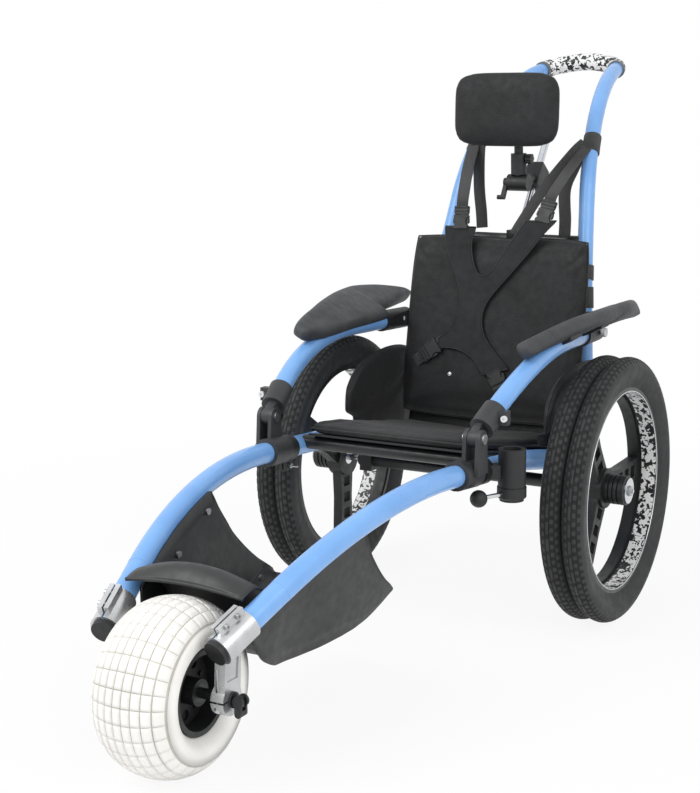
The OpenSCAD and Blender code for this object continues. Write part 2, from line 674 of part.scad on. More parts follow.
module lock_ring() {
    s = socket_at;
    r = socket_d / 2 + ring_wall;
    color("DimGray") translate([s[0], s[1], s[2] - ring_h]) difference() {
        union() {
            cylinder(h = sheet, r1 = r - sheet, r2 = r);
            translate([0, 0, sheet]) cylinder(h = ring_h - sheet - seat_gap, r = r);
        }
        translate([0, 0, -over]) cylinder(h = ring_h + over * 2, r = sleeve_rr + run);
        rotate([0, 0, lever_turn]) translate([sleeve_rr + rod_r / 2, 0, ring_h / 2]) rotate([0, 90, 0])
            cylinder(h = socket_d, r = rod_r + fit);
        translate([0, 0, -over]) cylinder(h = over + seat_gap, r = socket_d);
    }
}
module lock_rod() {
    s = socket_at;
    r0 = sleeve_rr + rod_r / 2 + fit;
    color("Silver") translate([s[0], s[1], s[2] - ring_h / 2]) rotate([0, 0, lever_turn]) translate([r0, 0, 0])
        rotate([0, 90, 0]) cylinder(h = lever_len - r0 - ball_r * 0.5, r = rod_r);
}
module lock_handle() {
    lock_ring();
    lock_ball();
}
module lock_ball() {
    s = socket_at;
    color("Black") translate([s[0], s[1], s[2] - ring_h / 2]) rotate([0, 0, lever_turn]) difference() {
        translate([lever_len, 0, 0]) sphere(r = ball_r);
        rotate([0, 90, 0]) cylinder(h = lever_len - ball_r * 0.5 + fit, r = rod_r + fit);
    }
}

// foot trough: places along it run from 0 at its rear tips to 1 at the foot of its front slope, and to 2 at the front axle
trough_t = 4;
trough_rear_share = 0.535;
trough_foot_share = 1.0838;
lip_share = 0.35;
lip_rise = 21;
screw_gap = 1.3;
// place, lower edge, height toward the rail and lean of the lower edge
wall_shares = [[0, 0.6391, 0.02, 0.1448], [0.048, 0.6184, 0.11, 0.1448], [0.126, 0.5813, 0.24, 0.1448], [0.232, 0.5377, 0.43, 0.1448],
    [0.313, 0.5169, 0.582, 0.1448], [0.358, 0.5062, 0.702, 0.1448], [0.409, 0.5008, 0.838, 0.1448], [0.442, 0.4972, 0.955, 0.1448],
    [0.473, 0.4939, 1, 0.1448], [0.622, 0.4848, 1, 0.1448], [0.7624, 0.4838, 1, 0.1448], [0.8941, 0.4921, 1, 0.1334],
    [1.0484, 0.5128, 1, 0.0994], [1.2804, 0.5824, 1, 0.0603], [1.4714, 0.6969, 1, 0.0227], [1.5783, 0.7836, 0.95, 0]];
// place, height and crown
floor_shares = [[0.02, 0.622, 0], [0.126, 0.575, 0], [0.3, 0.5175, 0], [0.5, 0.4963, 0], [0.7, 0.4888, 0], [0.84, 0.4925, 0],
    [0.93, 0.53, 0], [1, 0.6493, 0], [1.1022, 0.7836, 0], [1.2111, 0.9142, 0.15], [1.3541, 1.0, 0.6], [1.5101, 1.0485, 1],
    [1.6462, 1.0448, 0.95], [1.7687, 1.0243, 0.4]];
screw_shares = [[0.54, 0.89], [0.9, 0.82], [0.144, 0.3]];
function trough_y(t) = t <= 1 ? mix(axle_y - wheelbase * trough_rear_share, front_y + front_r * trough_foot_share, t)
    : front_y + front_r * trough_foot_share * (2 - t);
function wall_x(y) = line_x(rail_line, y) - rail_r * 1.05 - seat_gap;
function wall_low(t) = front_d * lookup(t, [for (s = wall_shares) [s[0], s[1]]]);
function wall_top(t) = mix(wall_low(t), line_z(rail_line, trough_y(t)), lookup(t, [for (s = wall_shares) [s[0], s[2]]]));
function wall_rise(t, z) = (z - wall_low(t)) / (line_z(rail_line, trough_y(t)) - wall_low(t));
function wall_in(t, z) = wall_x(trough_y(t))
    - wheel_x * lookup(t, [for (s = wall_shares) [s[0], s[3]]]) * (1 - min(1, max(0, wall_rise(t, z))));
module side_wall() {
    function p(t, k, in) = let (z = mix(wall_low(t), wall_top(t), k / 3)) [wall_in(t, z) - in, trough_y(t), z];
    skin([for (s = wall_shares) [for (k = [0 : 3]) p(s[0], k, trough_t)]],
        [for (s = wall_shares) [for (k = [0 : 3]) p(s[0], k, 0)]]);
}
module trough_floor() {
    m = 10;
    n = len(floor_shares);
    line = [for (s = floor_shares) [trough_y(s[0]), front_d * s[1]]];
    function dir(i) = unit(line[min(i + 1, n - 1)] - line[max(i - 1, 0)]);
    function half(i) = floor_shares[i][0] < 1.3 ? wall_in(floor_shares[i][0], line[i][1]) - trough_t / 2 : lip_share * wheel_x;
    function v(j) = 2 * j / m - 1;
    function up(i, j) = [half(i) * v(j), line[i][0], line[i][1] + lip_rise * floor_shares[i][2] * (1 - pow(v(j), 2))];
    skin([for (i = [0 : n - 1]) [for (j = [0 : m]) up(i, j)]],
        [for (i = [0 : n - 1]) [for (j = [0 : m]) up(i, j) + [0, -dir(i)[1], dir(i)[0]] * trough_t]]);
}
module foot_trough() {
    color("Black") union() {
        both() side_wall();
        trough_floor();
    }
}
module trough_screws() {
    color("Gray") both() for (s = screw_shares) {
        z = mix(wall_low(s[0]), wall_top(s[0]), s[1]);
        x = wall_in(s[0], z) - trough_t - screw_gap;
        pin_x(x - head_t, x, trough_y(s[0]), z, head_r + over);
    }
}
module rail_clips() {
    rail_collar();
}
module frame_screws() {
    fork_screws();
    collar_screw();
    trough_screws();
}

// seat
pan_y = [axle_y - wheelbase * 0.334, axle_y + wheelbase * 0.065];
pan_z = rear_d * 0.736;
pan_drop = rear_d * 0.145;
pan_tilt = atan(pan_drop / (pan_y[1] - pan_y[0]));
pan_half = wheel_x * 0.545;
function pan_at(y) = pan_z - (y - pan_y[0]) * tan(pan_tilt);
module seat_pan() {
    bolster_stays();
    color("Black") translate([0, pan_y[0], pan_z]) rotate([-pan_tilt, 0, 0])
        linear_extrude(height = sheet) polygon([[-pan_half, 0], [pan_half, 0],
            [pan_half * 1.06, pan_y[1] - pan_y[0]], [-pan_half * 1.06, pan_y[1] - pan_y[0]]]);
}
module seat_cushion() {
    n = 14;
    m = 12;
    function y(i) = mix(pan_y[0] - seat_t * 0.25, pan_y[1], i / n);
    function w(i) = mix(pan_half * 0.97, pan_half * 1.1, i / n);
    function e(i) = 1 - pow(2 * i / n - 1, 6);
    function v(j) = 2 * j / m - 1;
    function under(i) = y(i) + (0.5 - i / n) * sheet;
    function low(i) = pan_at(under(i)) + sheet / cos(pan_tilt) + seat_gap;
    function high(i, j) = low(i) + seat_t * (0.72 + 0.28 * e(i)) * (1 - 0.25 * pow(v(j), 6))
        + seat_t * 0.2 * e(i) * pow(v(j), 2) * (1 - pow(v(j), 8)) - seat_t * 0.2 * i / n;
    color("DarkSlateGray") skin(
        [for (j = [0 : m]) [for (i = [0 : n]) [v(j) * w(i) * (1 - 0.03 * (1 - e(i))), y(i), high(i, j)]]],
        [for (j = [0 : m]) [for (i = [0 : n]) [v(j) * w(i) * 0.96, under(i), low(i)]]]);
}
cross_in = 26;
cross_y = [pan_y[0] + cross_in, axle_y - wheelbase * 0.065];
cross_half = [line_x(rail_line, cross_y[0]) - rail_r / 2,
    mix(rail[2][0], rail[3][0], (cross_y[1] - rail[2][1]) / (rail[3][1] - rail[2][1])) - rail_r / 2];
module cross_tubes() {
    color("Black") for (i = [0, 1]) difference() {
        z = pan_at(cross_y[i]) - (cross_r + seat_gap) / cos(pan_tilt);
        pin_x(-cross_half[i], cross_half[i], cross_y[i], z, cross_r);
        pin_x(-cross_half[i] - over, cross_half[i] + over, cross_y[i], z, cross_r - tube_wall);
        both() path(rail, rail_bends, rail_r + fit);
    }
}
bolster_at = at([0.7104, -0.0152, 0.828]);
bolster_edge = 15;
bolster_crown = 5;
// places along a bolster, with its lower and upper edge
bolster_shares = [[-0.1194, 0.724, 0.77], [-0.1053, 0.716, 0.824], [-0.081, 0.714, 0.88], [-0.0455, 0.714, 0.916],
    [0, 0.718, 0.934], [0.0455, 0.726, 0.942], [0.086, 0.752, 0.94], [0.1215, 0.796, 0.934], [0.1498, 0.832, 0.92]];
module side_bolster() {
    m = 6;
    n = len(bolster_shares) - 1;
    function u(i) = 2 * i / n - 1;
    function v(j) = 2 * j / m - 1;
    function half(i, j) = bolster_edge / 2 * sqrt(1 - 0.7 * max(pow(u(i), 8), pow(v(j), 8)))
        + bolster_crown * (1 - pow(u(i), 4)) * (1 - pow(v(j), 4));
    function p(i, j, side) = [bolster_at[0] + side * half(i, j), axle_y + wheelbase * bolster_shares[i][0],
        rear_d * mix(bolster_shares[i][1], bolster_shares[i][2], j / m)];
    color("DarkSlateGray") skin([for (i = [0 : n]) [for (j = [0 : m]) p(i, j, 1)]],
        [for (i = [0 : n]) [for (j = [0 : m]) p(i, j, -1)]]);
}
module side_bolsters() {
    both() side_bolster();
}
module bolster_stays() {
    p = at([0, -0.0152, 0.624]) + [bolster_at[0] + bolster_edge / 2 + bolster_crown + seat_gap, 0, 0];
    w = 70;
    color("Black") both() difference() {
        translate([p[0], p[1] - w / 2, p[2]]) cube([slit, w, rear_d * 0.2]);
        path(rail, rail_bends, rail_r + fit);
    }
}

// backrest
module push_bar() {
    color("LightSteelBlue") difference() {
        tube(bar, bar_bends, bar_r, tube_wall);
        pin_x(-wheel_x, wheel_x, fold[1], fold[2], bolt_r + run);
    }
}
// the grip runs round both corners of the handle, between two rings on the uprights
grip_dir = unit(bar[3] - bar[2]);
grip_end = bar[3] - grip_dir * (trim(bar, bar_bends, 3) + lap * 2);
ring_w = 8;
ring_lip = 1;
grip_line = [grip_end, bar[3], bar[4], mirrored(bar[3]), mirrored(grip_end)];
module grip() {
    b = [0, bar_bends[3], bar_bends[4], bar_bends[3], 0];
    color("White") difference() {
        path(grip_line, b, grip_r);
        path(longer(grip_line), b, bar_r + fit);
    }
}
module grip_rings() {
    color("Gray") both() ring(grip_end - grip_dir * (ring_w + fit), grip_end - grip_dir * fit, grip_r + ring_lip, bar_r + fit);
}
function bar_low(f) = bend_at(bar[0], bar[1], bar[2], bar_bends[1], f);
function bar_high(f) = bend_at(bar[1], bar[2], bar[3], bar_bends[2], f);
lock_share = 0.21;
lock_w = 34;
lock_wall = 6;
module lock_collars() {
    d = unit(bar_low(lock_share + 0.01) - bar_low(lock_share - 0.01)) * lock_w / 2;
    color("Black") both() difference() {
        rod(bar_low(lock_share) - d, bar_low(lock_share) + d, bar_r + lock_wall);
        path(bar, bar_bends, bar_r + fit);
    }
}
tie_a = at([0.5168, 0.2293, 1.38]);
tie_r = 11;
tie_w = 30;
post_foot = 14;
module back_cross() {
    r = tie_r;
    w = tie_w;
    color("Black") difference() {
        union() {
            pin_x(-tie_a[0], tie_a[0], tie_a[1], tie_a[2], r);
            translate([-w / 2, tie_a[1] - w * 0.4, tie_a[2] - w * 0.6]) cube([w, w * 1.6, w * 1.2]);
        }
        path(bar, bar_bends, bar_r + fit);
        rod(post[0] - post_dir * post_foot, post[1], post_r + fit);
    }
}
panel_c = at([0, 0.1391, 1.033]);
panel_half = [wheel_x * 0.628, rear_d * 0.369];
panel_up = unit(at([0, 0.1872, 1.394]) - at([0, 0.1366, 0.85]));
panel_n = cross([1, 0, 0], panel_up);
panel_crown = 5;
panel_seam = 2;
module back_panel() {
    color("DarkSlateGray") pillow(panel_c, [1, 0, 0], panel_up, panel_n, panel_half[0], panel_half[1],
        panel_t, panel_crown, 0.2, 16, 18, panel_seam);
}
// rear face of the panel
function panel_back(x, z) = panel_c[1] + ((z - panel_c[2]) * panel_up[1] + panel_t / 2
    + panel_crown * (1 - pow(x / panel_half[0], 4)) * (1 - pow((z - panel_c[2]) / panel_half[1], 4))) / panel_up[2];
web_w = 25;
web_t = 2;
loop_r = bar_r * (1 + proud_share) + seat_gap;
// places of the panel's loops on the push bar, with their widths as shares of a strap's width
loop_shares = [[0.435, 1.68], [0.665, 1.16]];
top_share = 0.31;
module panel_loops() {
    color("Black") both() for (s = loop_shares) difference() {
        p = bar_low(s[0]);
        d = unit(bar_low(s[0] + 0.01) - bar_low(s[0] - 0.01)) * web_w * s[1] / 2;
        x = p[0] - loop_r;
        z = [p[2] - d[2], p[2] + d[2]];
        union() {
            rod(p - d, p + d, loop_r + web_t);
            plate_x(x - web_t, x, [[panel_back(x, z[0]) + seat_gap, z[0]], [panel_back(x, z[1]) + seat_gap, z[1]], [p[1], z[1]], [p[1], z[0]]]);
        }
        elbow(bar[0], bar[1], bar[2], bar_bends[1], bar_r + seat_gap);
    }
}
// harness lying on the front of the panel
har_t = 12;
har_out = (panel_t / 2 + panel_crown) / panel_up[2] + seat_gap;
har_z = rear_d * 1.096;
leg_shares = [[-1, 0.14], [0.31, 0.252], [1, 0.22]];
function har(x, z, out) = [x, panel_c[1] + (z - panel_c[2]) * panel_up[1] / panel_up[2] - out, z];
function har_half(s) = wheel_x * (0.0875 + (s > 0 ? 0.3232 : 0.1751) * pow(abs(s), 1.4));
function har_mid(s) = wheel_x * (0.1582 * pow(max(0, s), 1.4) + 0.0404 * max(0, -s) - 0.1481);
function har_pz(s, t) = har_z + s * rear_d * (s > 0 ? 0.14 + 0.194 * pow(min(1, abs(t) / 0.45), 1.3) : lookup(t, leg_shares));
function har_px(s, t) = har_mid(s) + har_half(s) * t;
function har_tip(s, t) = har(har_px(s, t), har_pz(s, t), har_out + buckle[1] / 2 + seat_gap);
module harness() {
    n = 16;
    m = 14;
    function s(i) = 2 * i / n - 1;
    function t(j) = 2 * j / m - 1;
    function thick(i, j) = har_t * (0.55 + 0.45 * (1 - pow(t(j), 6)) * (1 - pow(s(i), 6)));
    color("Black") skin(
        [for (i = [0 : n]) [for (j = [0 : m]) har(har_px(s(i), t(j)), har_pz(s(i), t(j)), har_out)]],
        [for (i = [0 : n]) [for (j = [0 : m]) har(har_px(s(i), t(j)), har_pz(s(i), t(j)), har_out + thick(i, j))]]);
}
buckle = [34, 11, 46];
// directions in which the straps leave the harness
shoulder_shares = [[0.2, 0.3, 1], [0, 0.3, 1]];
waist_shares = [[0.4, -0.14, -0.9], [-0.75, -0.095, -0.65]];
function clasp(p, d) = [p + unit(d) * buckle[2] * 0.08, p + unit(d) * buckle[2] * 1.08];
sh_l = clasp(har_tip(1, 0.72), shoulder_shares[0]);
sh_r = clasp(har_tip(1, -0.72), shoulder_shares[1]);
wa_l = clasp(har_tip(-1, 0.655), waist_shares[0]);
wa_r = clasp(har_tip(-1, -1), waist_shares[1]);
module one_buckle(e) {
    v = e[1] - e[0];
    l = norm(v);
    side = unit(cross(v, panel_n));
    lift = cross(side, unit(v));
    multmatrix([[side[0], lift[0], v[0] / l, e[0][0]], [side[1], lift[1], v[1] / l, e[0][1]],
        [side[2], lift[2], v[2] / l, e[0][2]], [0, 0, 0, 1]])
        difference() {
            translate([-buckle[0] / 2, -buckle[1] / 2, 0]) cube([buckle[0], buckle[1], l]);
            for (x = [-1, 1]) translate([x * buckle[0] * 0.32 - sheet / 2, -buckle[1], l * 0.3]) cube([sheet, buckle[1] * 2, l * 0.4]);
        }
}
module buckles() {
    color("Black") for (e = [sh_l, sh_r, wa_l, wa_r]) one_buckle(e);
}
// straps that hang from a loop at the top of the push bar, drawn on the left; ways are their further points
function to_loop(p, q) = p + unit([q[0] - p[0], q[1] - p[1], 0]) * (loop_r + web_t / 2);
module top_straps(from, ways) {
    p = bar_high(top_share);
    d = unit(bar_high(top_share + 0.01) - bar_high(top_share - 0.01)) * web_w * 0.76;
    color("Black") difference() {
        union() {
            rod(p - d, p + d, loop_r + web_t);
            for (w = concat([[from]], ways)) band(concat([to_loop(p, w[0])], w), [1, 0, 0], web_w, web_t);
        }
        elbow(bar[1], bar[2], bar[3], bar_bends[2], bar_r + seat_gap);
    }
}
tail_shares = [[0.3333, 0.2652, 1.58], [0.2963, 0.253, 1.48], [0.2828, 0.249, 1.424]];
left_shares = [[0.1919, 0.2429, 1.588], [0.0808, 0.1984, 1.444], [0.064, 0.1895, 1.416]];
slack_shares = [[0.3502, 0.2348, 1.58], [0.3838, 0.2146, 1.47], [0.3973, 0.2042, 1.41]];
// a strap's end over a buckle, with its lowest corner a gap above it
function strap_end(e) = let (v = unit(e[1] - e[0]), d = unit(e[1] - to_loop(bar_high(top_share), e[1])),
    a = unit([1, 0, 0] - d * d[0]), u = cross(d, a))
    e[1] + v * (seat_gap + web_w / 2 * abs(a * v) + web_t / 2 * abs(u * v));
module shoulder_straps() {
    top_straps(strap_end(sh_l), [[for (s = left_shares) at(s)], [for (s = slack_shares) at(s)]]);
    flip() top_straps(strap_end([for (p = sh_r) mirrored(p)]), [[for (s = tail_shares) at(s)]]);
}
module waist_straps() {
    color("Black") for (e = [wa_l, wa_r]) {
        d = unit(e[1] - e[0]);
        band([e[1] + d * seat_gap, e[1] + d * web_w], cross(d, panel_n), web_w, web_t);
    }
}
module webbing() {
    panel_loops();
    shoulder_straps();
    waist_straps();
}

// headrest: a clamp on the post reaches forward to a joint, from which a stem carries the pad
post_dir = unit(post[1] - post[0]);
post_n = cross([1, 0, 0], post_dir);
post_r = 8;
block = [34, 40, 52];
block_at = mix(post[0], post[1], 0.6);
joint_at = at([0, 0.2429, 1.606]);
tilt_at = at([0, 0.2358, 1.876]);
stem_dir = unit(tilt_at - joint_at);
neck_r = 12;
drum_r = 17;
drum_half = 22;
stem_r = 9;
sleeve_h = 42;
stem_sleeve_r = 16;
tilt_r = 7;
tilt_half = 33;
turn_gap = 1.5;
shank = 7;
knob_r = 10;
knob_h = 12;
knob_at = joint_at + stem_dir * (drum_r + sleeve_h * 0.75);
module head_post() {
    color("Silver") rod(post[0] - post_dir * post_foot, post[1], post_r);
}
module block_frame() {
    multmatrix([[1, 0, 0, block_at[0]], [0, post_n[1], post_dir[1], block_at[1]], [0, post_n[2], post_dir[2], block_at[2]], [0, 0, 0, 1]])
        children();
}
module head_block() {
    color("Black") difference() {
        union() {
            block_frame() translate([-block[0] / 2, -block[1] / 2, -block[2] / 2]) cube(block);
            rod(block_at, joint_at, neck_r);
            pin_x(-drum_half, drum_half, joint_at[1], joint_at[2], drum_r);
        }
        rod(post[0] - post_dir * block[2], post[1] + post_dir * block[2], post_r + run);
        rod(joint_at + stem_dir * over, tilt_at, stem_r + fit);
        pin_x(-drum_half - over, -drum_half + shank + over, joint_at[1], joint_at[2], bolt_r + run);
    }
}
module head_stem() {
    color("DimGray") difference() {
        union() {
            rod(joint_at + stem_dir * over * 2, tilt_at, stem_r);
            rod(joint_at + stem_dir * (drum_r + seat_gap), joint_at + stem_dir * (drum_r + sleeve_h), stem_sleeve_r);
            pin_x(-tilt_half, tilt_half, tilt_at[1], tilt_at[2], tilt_r);
        }
        pin_x(stem_sleeve_r - shank - over, stem_sleeve_r * 2, knob_at[1], knob_at[2], bolt_r + run);
    }
}
module head_knob() {
    x = stem_sleeve_r + turn_gap;
    color("Black") union() {
        pin_x(stem_sleeve_r - shank, x + over, knob_at[1], knob_at[2], bolt_r);
        translate([x, knob_at[1], knob_at[2]]) rotate([0, 90, 0]) difference() {
            cylinder(h = knob_h, r = knob_r);
            for (a = [0 : 60 : 359]) rotate([0, 0, a]) translate([knob_r * 1.12, 0, -over]) cylinder(h = knob_h + over * 2, r = knob_r * 0.28);
        }
    }
}
module head_lever() {
    l = 34;
    x = -drum_half - turn_gap;
    dir = [-0.5, -0.866];
    c = [joint_at[1], joint_at[2]];
    n = [-dir[1], dir[0]] * head_r;
    color("Black") union() {
        pin_x(x - over, -drum_half + shank, c[0], c[1], bolt_r);
        pin_x(x - plug_t, x, c[0], c[1], head_r * 2);
        plate_x(x - plug_t, x, [c + n, c + dir * l + n, c + dir * l - n, c - n]);
        pin_x(x - plug_t * 2, x, c[0] + dir[0] * l, c[1] + dir[1] * l, head_r);
    }
}
head_c = at([0, 0.1832, 1.9]);
head_up = unit(at([0, 0.1873, 2.142]) - at([0, 0.1832, 1.9]));
head_n = cross([1, 0, 0], head_up);
head_edge = 26;
head_crown = 6;
plate_gap = 20;
lug_r = 12;
module head_pad() {
    color("DarkSlateGray") pillow(head_c, [1, 0, 0], head_up, head_n, head_w / 2, head_h / 2, head_edge, head_crown, 0.4, 16, 14, 0, 6);
}
module head_plate() {
    p = tilt_at;
    o = head_c - head_n * plate_gap;
    color("Black") difference() {
        union() {
            translate(o) rotate([90 - atan2(head_up[1], head_up[2]), 0, 0]) translate([-head_w * 0.3, -head_h * 0.3, -sheet / 2])
                cube([head_w * 0.6, head_h * 0.6, sheet - over]);
            for (x = [-tilt_half + sheet, stem_sleeve_r]) {
                pin_x(x, x + lug_r, p[1], p[2], lug_r);
                translate([x, o[1] - sheet * 0.2, p[2] - lug_r]) cube([lug_r, p[1] - o[1], lug_r * 2]);
            }
        }
        pin_x(-wheel_x, wheel_x, p[1], p[2], tilt_r + run);
    }
}

// armrests, drawn for the left side
sleeve_dir = unit(arm[1] - arm[0]);
module arm_tube_left() {
    color("LightSteelBlue") tube(arm, arm_bends, arm_r, tube_wall);
}
module arm_tube_right() {
    flip() arm_tube_left();
}
sleeve_t = 5;
sleeve_r = arm_r + sleeve_t;
sleeve_top = 38;
screw_at = 20;
socket_wall = 4;
socket_lap = 26;
socket_reach = 68;
pin_at = 40;
sleeve_a = arm_pivot + unit(arm[0] - arm_pivot) * (ear_r + plug_t);
module arm_knuckle_left() {
    p = arm_pivot;
    top = arm[0] + sleeve_dir * sleeve_top;
    color("Black") difference() {
        union() {
            rod(sleeve_a, top, sleeve_r);
            pin_x(p[0] - eye_half, p[0] + eye_half, p[1], p[2], eye_r);
            intersection() {
                rod(p, mix(p, top, 0.7), eye_r);
                translate([p[0] - eye_half, p[1] - wheelbase, 0]) cube([eye_half * 2, wheelbase * 2, rear_d * 2]);
            }
            translate([arm[0][0], arm[0][1], arm[0][2]] + sleeve_dir * screw_at)
                translate([sleeve_r - sheet, -plug_t, -plug_t * 1.5]) cube([plug_t * 2, plug_t * 2, plug_t * 3]);
        }
        rod(arm[0] - sleeve_dir * fit, top + sleeve_dir * plug_t, arm_r + fit);
        elbow(arm[0], arm[1], arm[2], arm_bends[1], arm_r + fit);
        pin_x(0, wheel_x * 2, p[1], p[2], bolt_r + run);
        translate(arm[0] + sleeve_dir * screw_at + [sleeve_r + plug_t, -plug_t * 2, 0]) rotate([-90, 0, 0])
            cylinder(h = plug_t * 4, r = screw_r + fit);
    }
}
module arm_knuckle_right() {
    flip() arm_knuckle_left();
}
module arm_screw_left() {
    color("Gainsboro") translate(arm[0] + sleeve_dir * screw_at + [sleeve_r + plug_t, -plug_t, 0]) rotate([-90, 0, 0]) union() {
        translate([0, 0, -head_t / 2]) cylinder(h = plug_t * 2, r = screw_r);
        translate([0, 0, -head_t]) difference() {
            cylinder(h = head_t - fit, r = head_r + over);
            translate([0, 0, -over]) cylinder(h = head_t / 2 + over, r = screw_r, $fn = 6);
        }
    }
}
flat_x = wheel_x * 0.6585;
module arm_socket_left() {
    e = arm[2];
    d = unit(arm[2] - arm[1]);
    r = arm_r + socket_wall;
    color("Black") difference() {
        intersection() {
            rod(e - d * socket_lap, e + d * socket_reach, r);
            translate([flat_x, e[1] - rear_d, 0]) cube([rear_d, rear_d * 2, rear_d * 3]);
        }
        rod(e - d * rear_d, e + d * fit, arm_r + fit);
        pin_x(flat_x - over, flat_x + r * 3, e[1] + pin_at, e[2], head_r + fit);
    }
}
module arm_pin_left() {
    e = arm[2];
    r = arm_r + socket_wall;
    color("WhiteSmoke") union() {
        pin_x(flat_x + over, e[0] + r, e[1] + pin_at, e[2], head_r);
        pin_x(e[0] + r + over, e[0] + r + plug_t, e[1] + pin_at, e[2], head_r * 2);
        pin_x(e[0] + r - over, e[0] + r + over * 2, e[1] + pin_at, e[2], head_r);
    }
}
module arm_fasteners_left() {
    arm_screw_left();
    arm_pin_left();
}
module arm_fasteners_right() {
    flip() arm_fasteners_left();
}
// pad: places along it from front to rear, its inner edge, and the reach and rise from there to its outer edge
pad_y = axle_y - wheelbase * 0.002;
pad_shares = [[-0.5, 0.7677, 1.082, 0.0842, 0.0526], [-0.4803, 0.7374, 1.072, 0.2947, 0.1684], [-0.4331, 0.7104, 1.062, 0.4737, 0.2947],
    [-0.3701, 0.6956, 1.056, 0.5832, 0.4], [-0.2913, 0.6963, 1.058, 0.6337, 0.4632], [-0.2126, 0.6933, 1.064, 0.7168, 0.4842],
    [-0.1339, 0.6859, 1.068, 0.8242, 0.5053], [-0.0551, 0.6768, 1.07, 0.9368, 0.5263], [0.0236, 0.6663, 1.074, 1.0432, 0.5263],
    [0.0866, 0.6613, 1.078, 1.1011, 0.5158], [0.0886, 0.7111, 1.1, 0.945, 0.4], [0.0945, 0.7609, 1.0985, 0.8, 0.4079],
    [0.1496, 0.7677, 1.099, 0.7842, 0.4053],
    [0.2205, 0.7778, 1.102, 0.7053, 0.3684], [0.2992, 0.7912, 1.106, 0.5684, 0.3053], [0.378, 0.8114, 1.11, 0.3789, 0.2105],
    [0.4409, 0.8316, 1.112, 0.2105, 0.1263], [0.4803, 0.8485, 1.115, 0.0842, 0.0474], [0.5, 0.8586, 1.117, 0.0211, 0.0158]];
across_shares = [0, 0.04, 0.1, 0.2, 0.3, 0.42, 0.56, 0.7, 0.84, 0.95, 1];
pad_up = 12;
pad_down = 10;
pad_clear = 2.4;
pad_r = arm_r * (1 + proud_share) + pad_clear;
function pad_at(i) = pad_y + pad_l * pad_shares[i][0];
function pad_mid(i, q) = [pad_shares[i][1] * wheel_x + pad_shares[i][3] * pad_w * q, pad_at(i),
    pad_shares[i][2] * rear_d + pad_shares[i][4] * pad_w * q];
function pad_n(i) = unit([-pad_shares[i][4], 0, pad_shares[i][3]]);
function pad_full(i, q) = sqrt(1 - 0.96 * pow(abs(2 * q - 1), 5)) * (i == 0 || i == len(pad_shares) - 1 ? 0.3 : 1);
// height of the armrest tube's top, where the pad's channel lies over it
function tube_top(p) = p[1] > arm[2][1] || abs(p[0] - line_x(arm_line, p[1])) > pad_r ? 0
    : line_z(arm_line, p[1]) + sqrt(pow(pad_r, 2) - pow(p[0] - line_x(arm_line, p[1]), 2)) * 1.05;
function pad_top(i, q) = pad_mid(i, q) + pad_n(i) * pad_up * pad_full(i, q);
function pad_low(i, q) = let (p = pad_mid(i, q) - pad_n(i) * pad_down * pad_full(i, q)) [p[0], p[1], max(p[2], tube_top(p))];
module arm_pad_left() {
    color("DimGray") skin([for (i = [0 : len(pad_shares) - 1]) [for (q = across_shares) pad_low(i, q)]],
        [for (i = [0 : len(pad_shares) - 1]) [for (q = across_shares) pad_top(i, q)]]);
}
module arm_pad_right() {
    flip() arm_pad_left();
}
module pad_brackets_left() {
    down = [0, 0, sheet * 3];
    lift = [0, 0, seat_gap];
    color("Black") for (k = [5, 8]) difference() {
        skin([for (i = [k, k + 1]) [for (q = [0.3, 0.42, 0.56, 0.7]) pad_low(i, q) - lift - down]],
            [for (i = [k, k + 1]) [for (q = [0.3, 0.42, 0.56, 0.7]) pad_low(i, q) - lift]]);
        path(arm, arm_bends, arm_r + fit);
    }
}
module arm_mounts_left() {
    arm_socket_left();
    pad_brackets_left();
}
module arm_mounts_right() {
    flip() arm_mounts_left();
}

side_rails();
fork_arms();
frame_screws();
rail_plugs();
front_axle();
axle_lever();
front_tyre();
front_rim();
front_fittings();
tyres_left();
wheel_rim_left();
spider_left();
hub_metal_left();
tyres_right();
wheel_rim_right();
spider_right();
hub_metal_right();
rear_axle_tube();
stub_axles();
button_left();
button_right();
rear_castings();
pivot_pins();
knuckles();
rail_clips();
accessory_socket();
lock_rod();
lock_handle();
foot_trough();
cross_tubes();
seat_pan();
seat_cushion();
side_bolsters();
push_bar();
grip();
grip_rings();
lock_collars();
back_cross();
back_panel();
harness();
buckles();
webbing();
head_post();
head_block();
head_stem();
head_knob();
head_lever();
head_pad();
head_plate();
arm_tube_left();
arm_knuckle_left();
arm_fasteners_left();
arm_mounts_left();
arm_pad_left();
arm_tube_right();
arm_knuckle_right();
arm_fasteners_right();
arm_mounts_right();
arm_pad_right();
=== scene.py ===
"""Looks of a beach wheelchair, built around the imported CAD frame. Metres, +Z up, the front toward -Y."""
import math
import bmesh
import bpy
from mathutils import Matrix, Vector, noise


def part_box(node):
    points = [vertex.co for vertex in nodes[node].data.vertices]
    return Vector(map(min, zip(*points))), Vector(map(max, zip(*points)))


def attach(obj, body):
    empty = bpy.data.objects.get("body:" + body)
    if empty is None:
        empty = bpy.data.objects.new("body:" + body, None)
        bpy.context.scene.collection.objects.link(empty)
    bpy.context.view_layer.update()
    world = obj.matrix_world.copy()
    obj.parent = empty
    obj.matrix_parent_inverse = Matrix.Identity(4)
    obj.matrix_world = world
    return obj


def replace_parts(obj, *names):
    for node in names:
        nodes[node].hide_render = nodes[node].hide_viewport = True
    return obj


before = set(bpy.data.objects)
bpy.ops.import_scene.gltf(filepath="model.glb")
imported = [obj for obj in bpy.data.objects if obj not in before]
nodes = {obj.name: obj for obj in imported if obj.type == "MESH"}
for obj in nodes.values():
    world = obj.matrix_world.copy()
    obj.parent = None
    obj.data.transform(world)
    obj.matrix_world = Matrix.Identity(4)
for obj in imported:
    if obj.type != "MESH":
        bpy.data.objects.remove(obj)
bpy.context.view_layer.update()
MM = 0.001
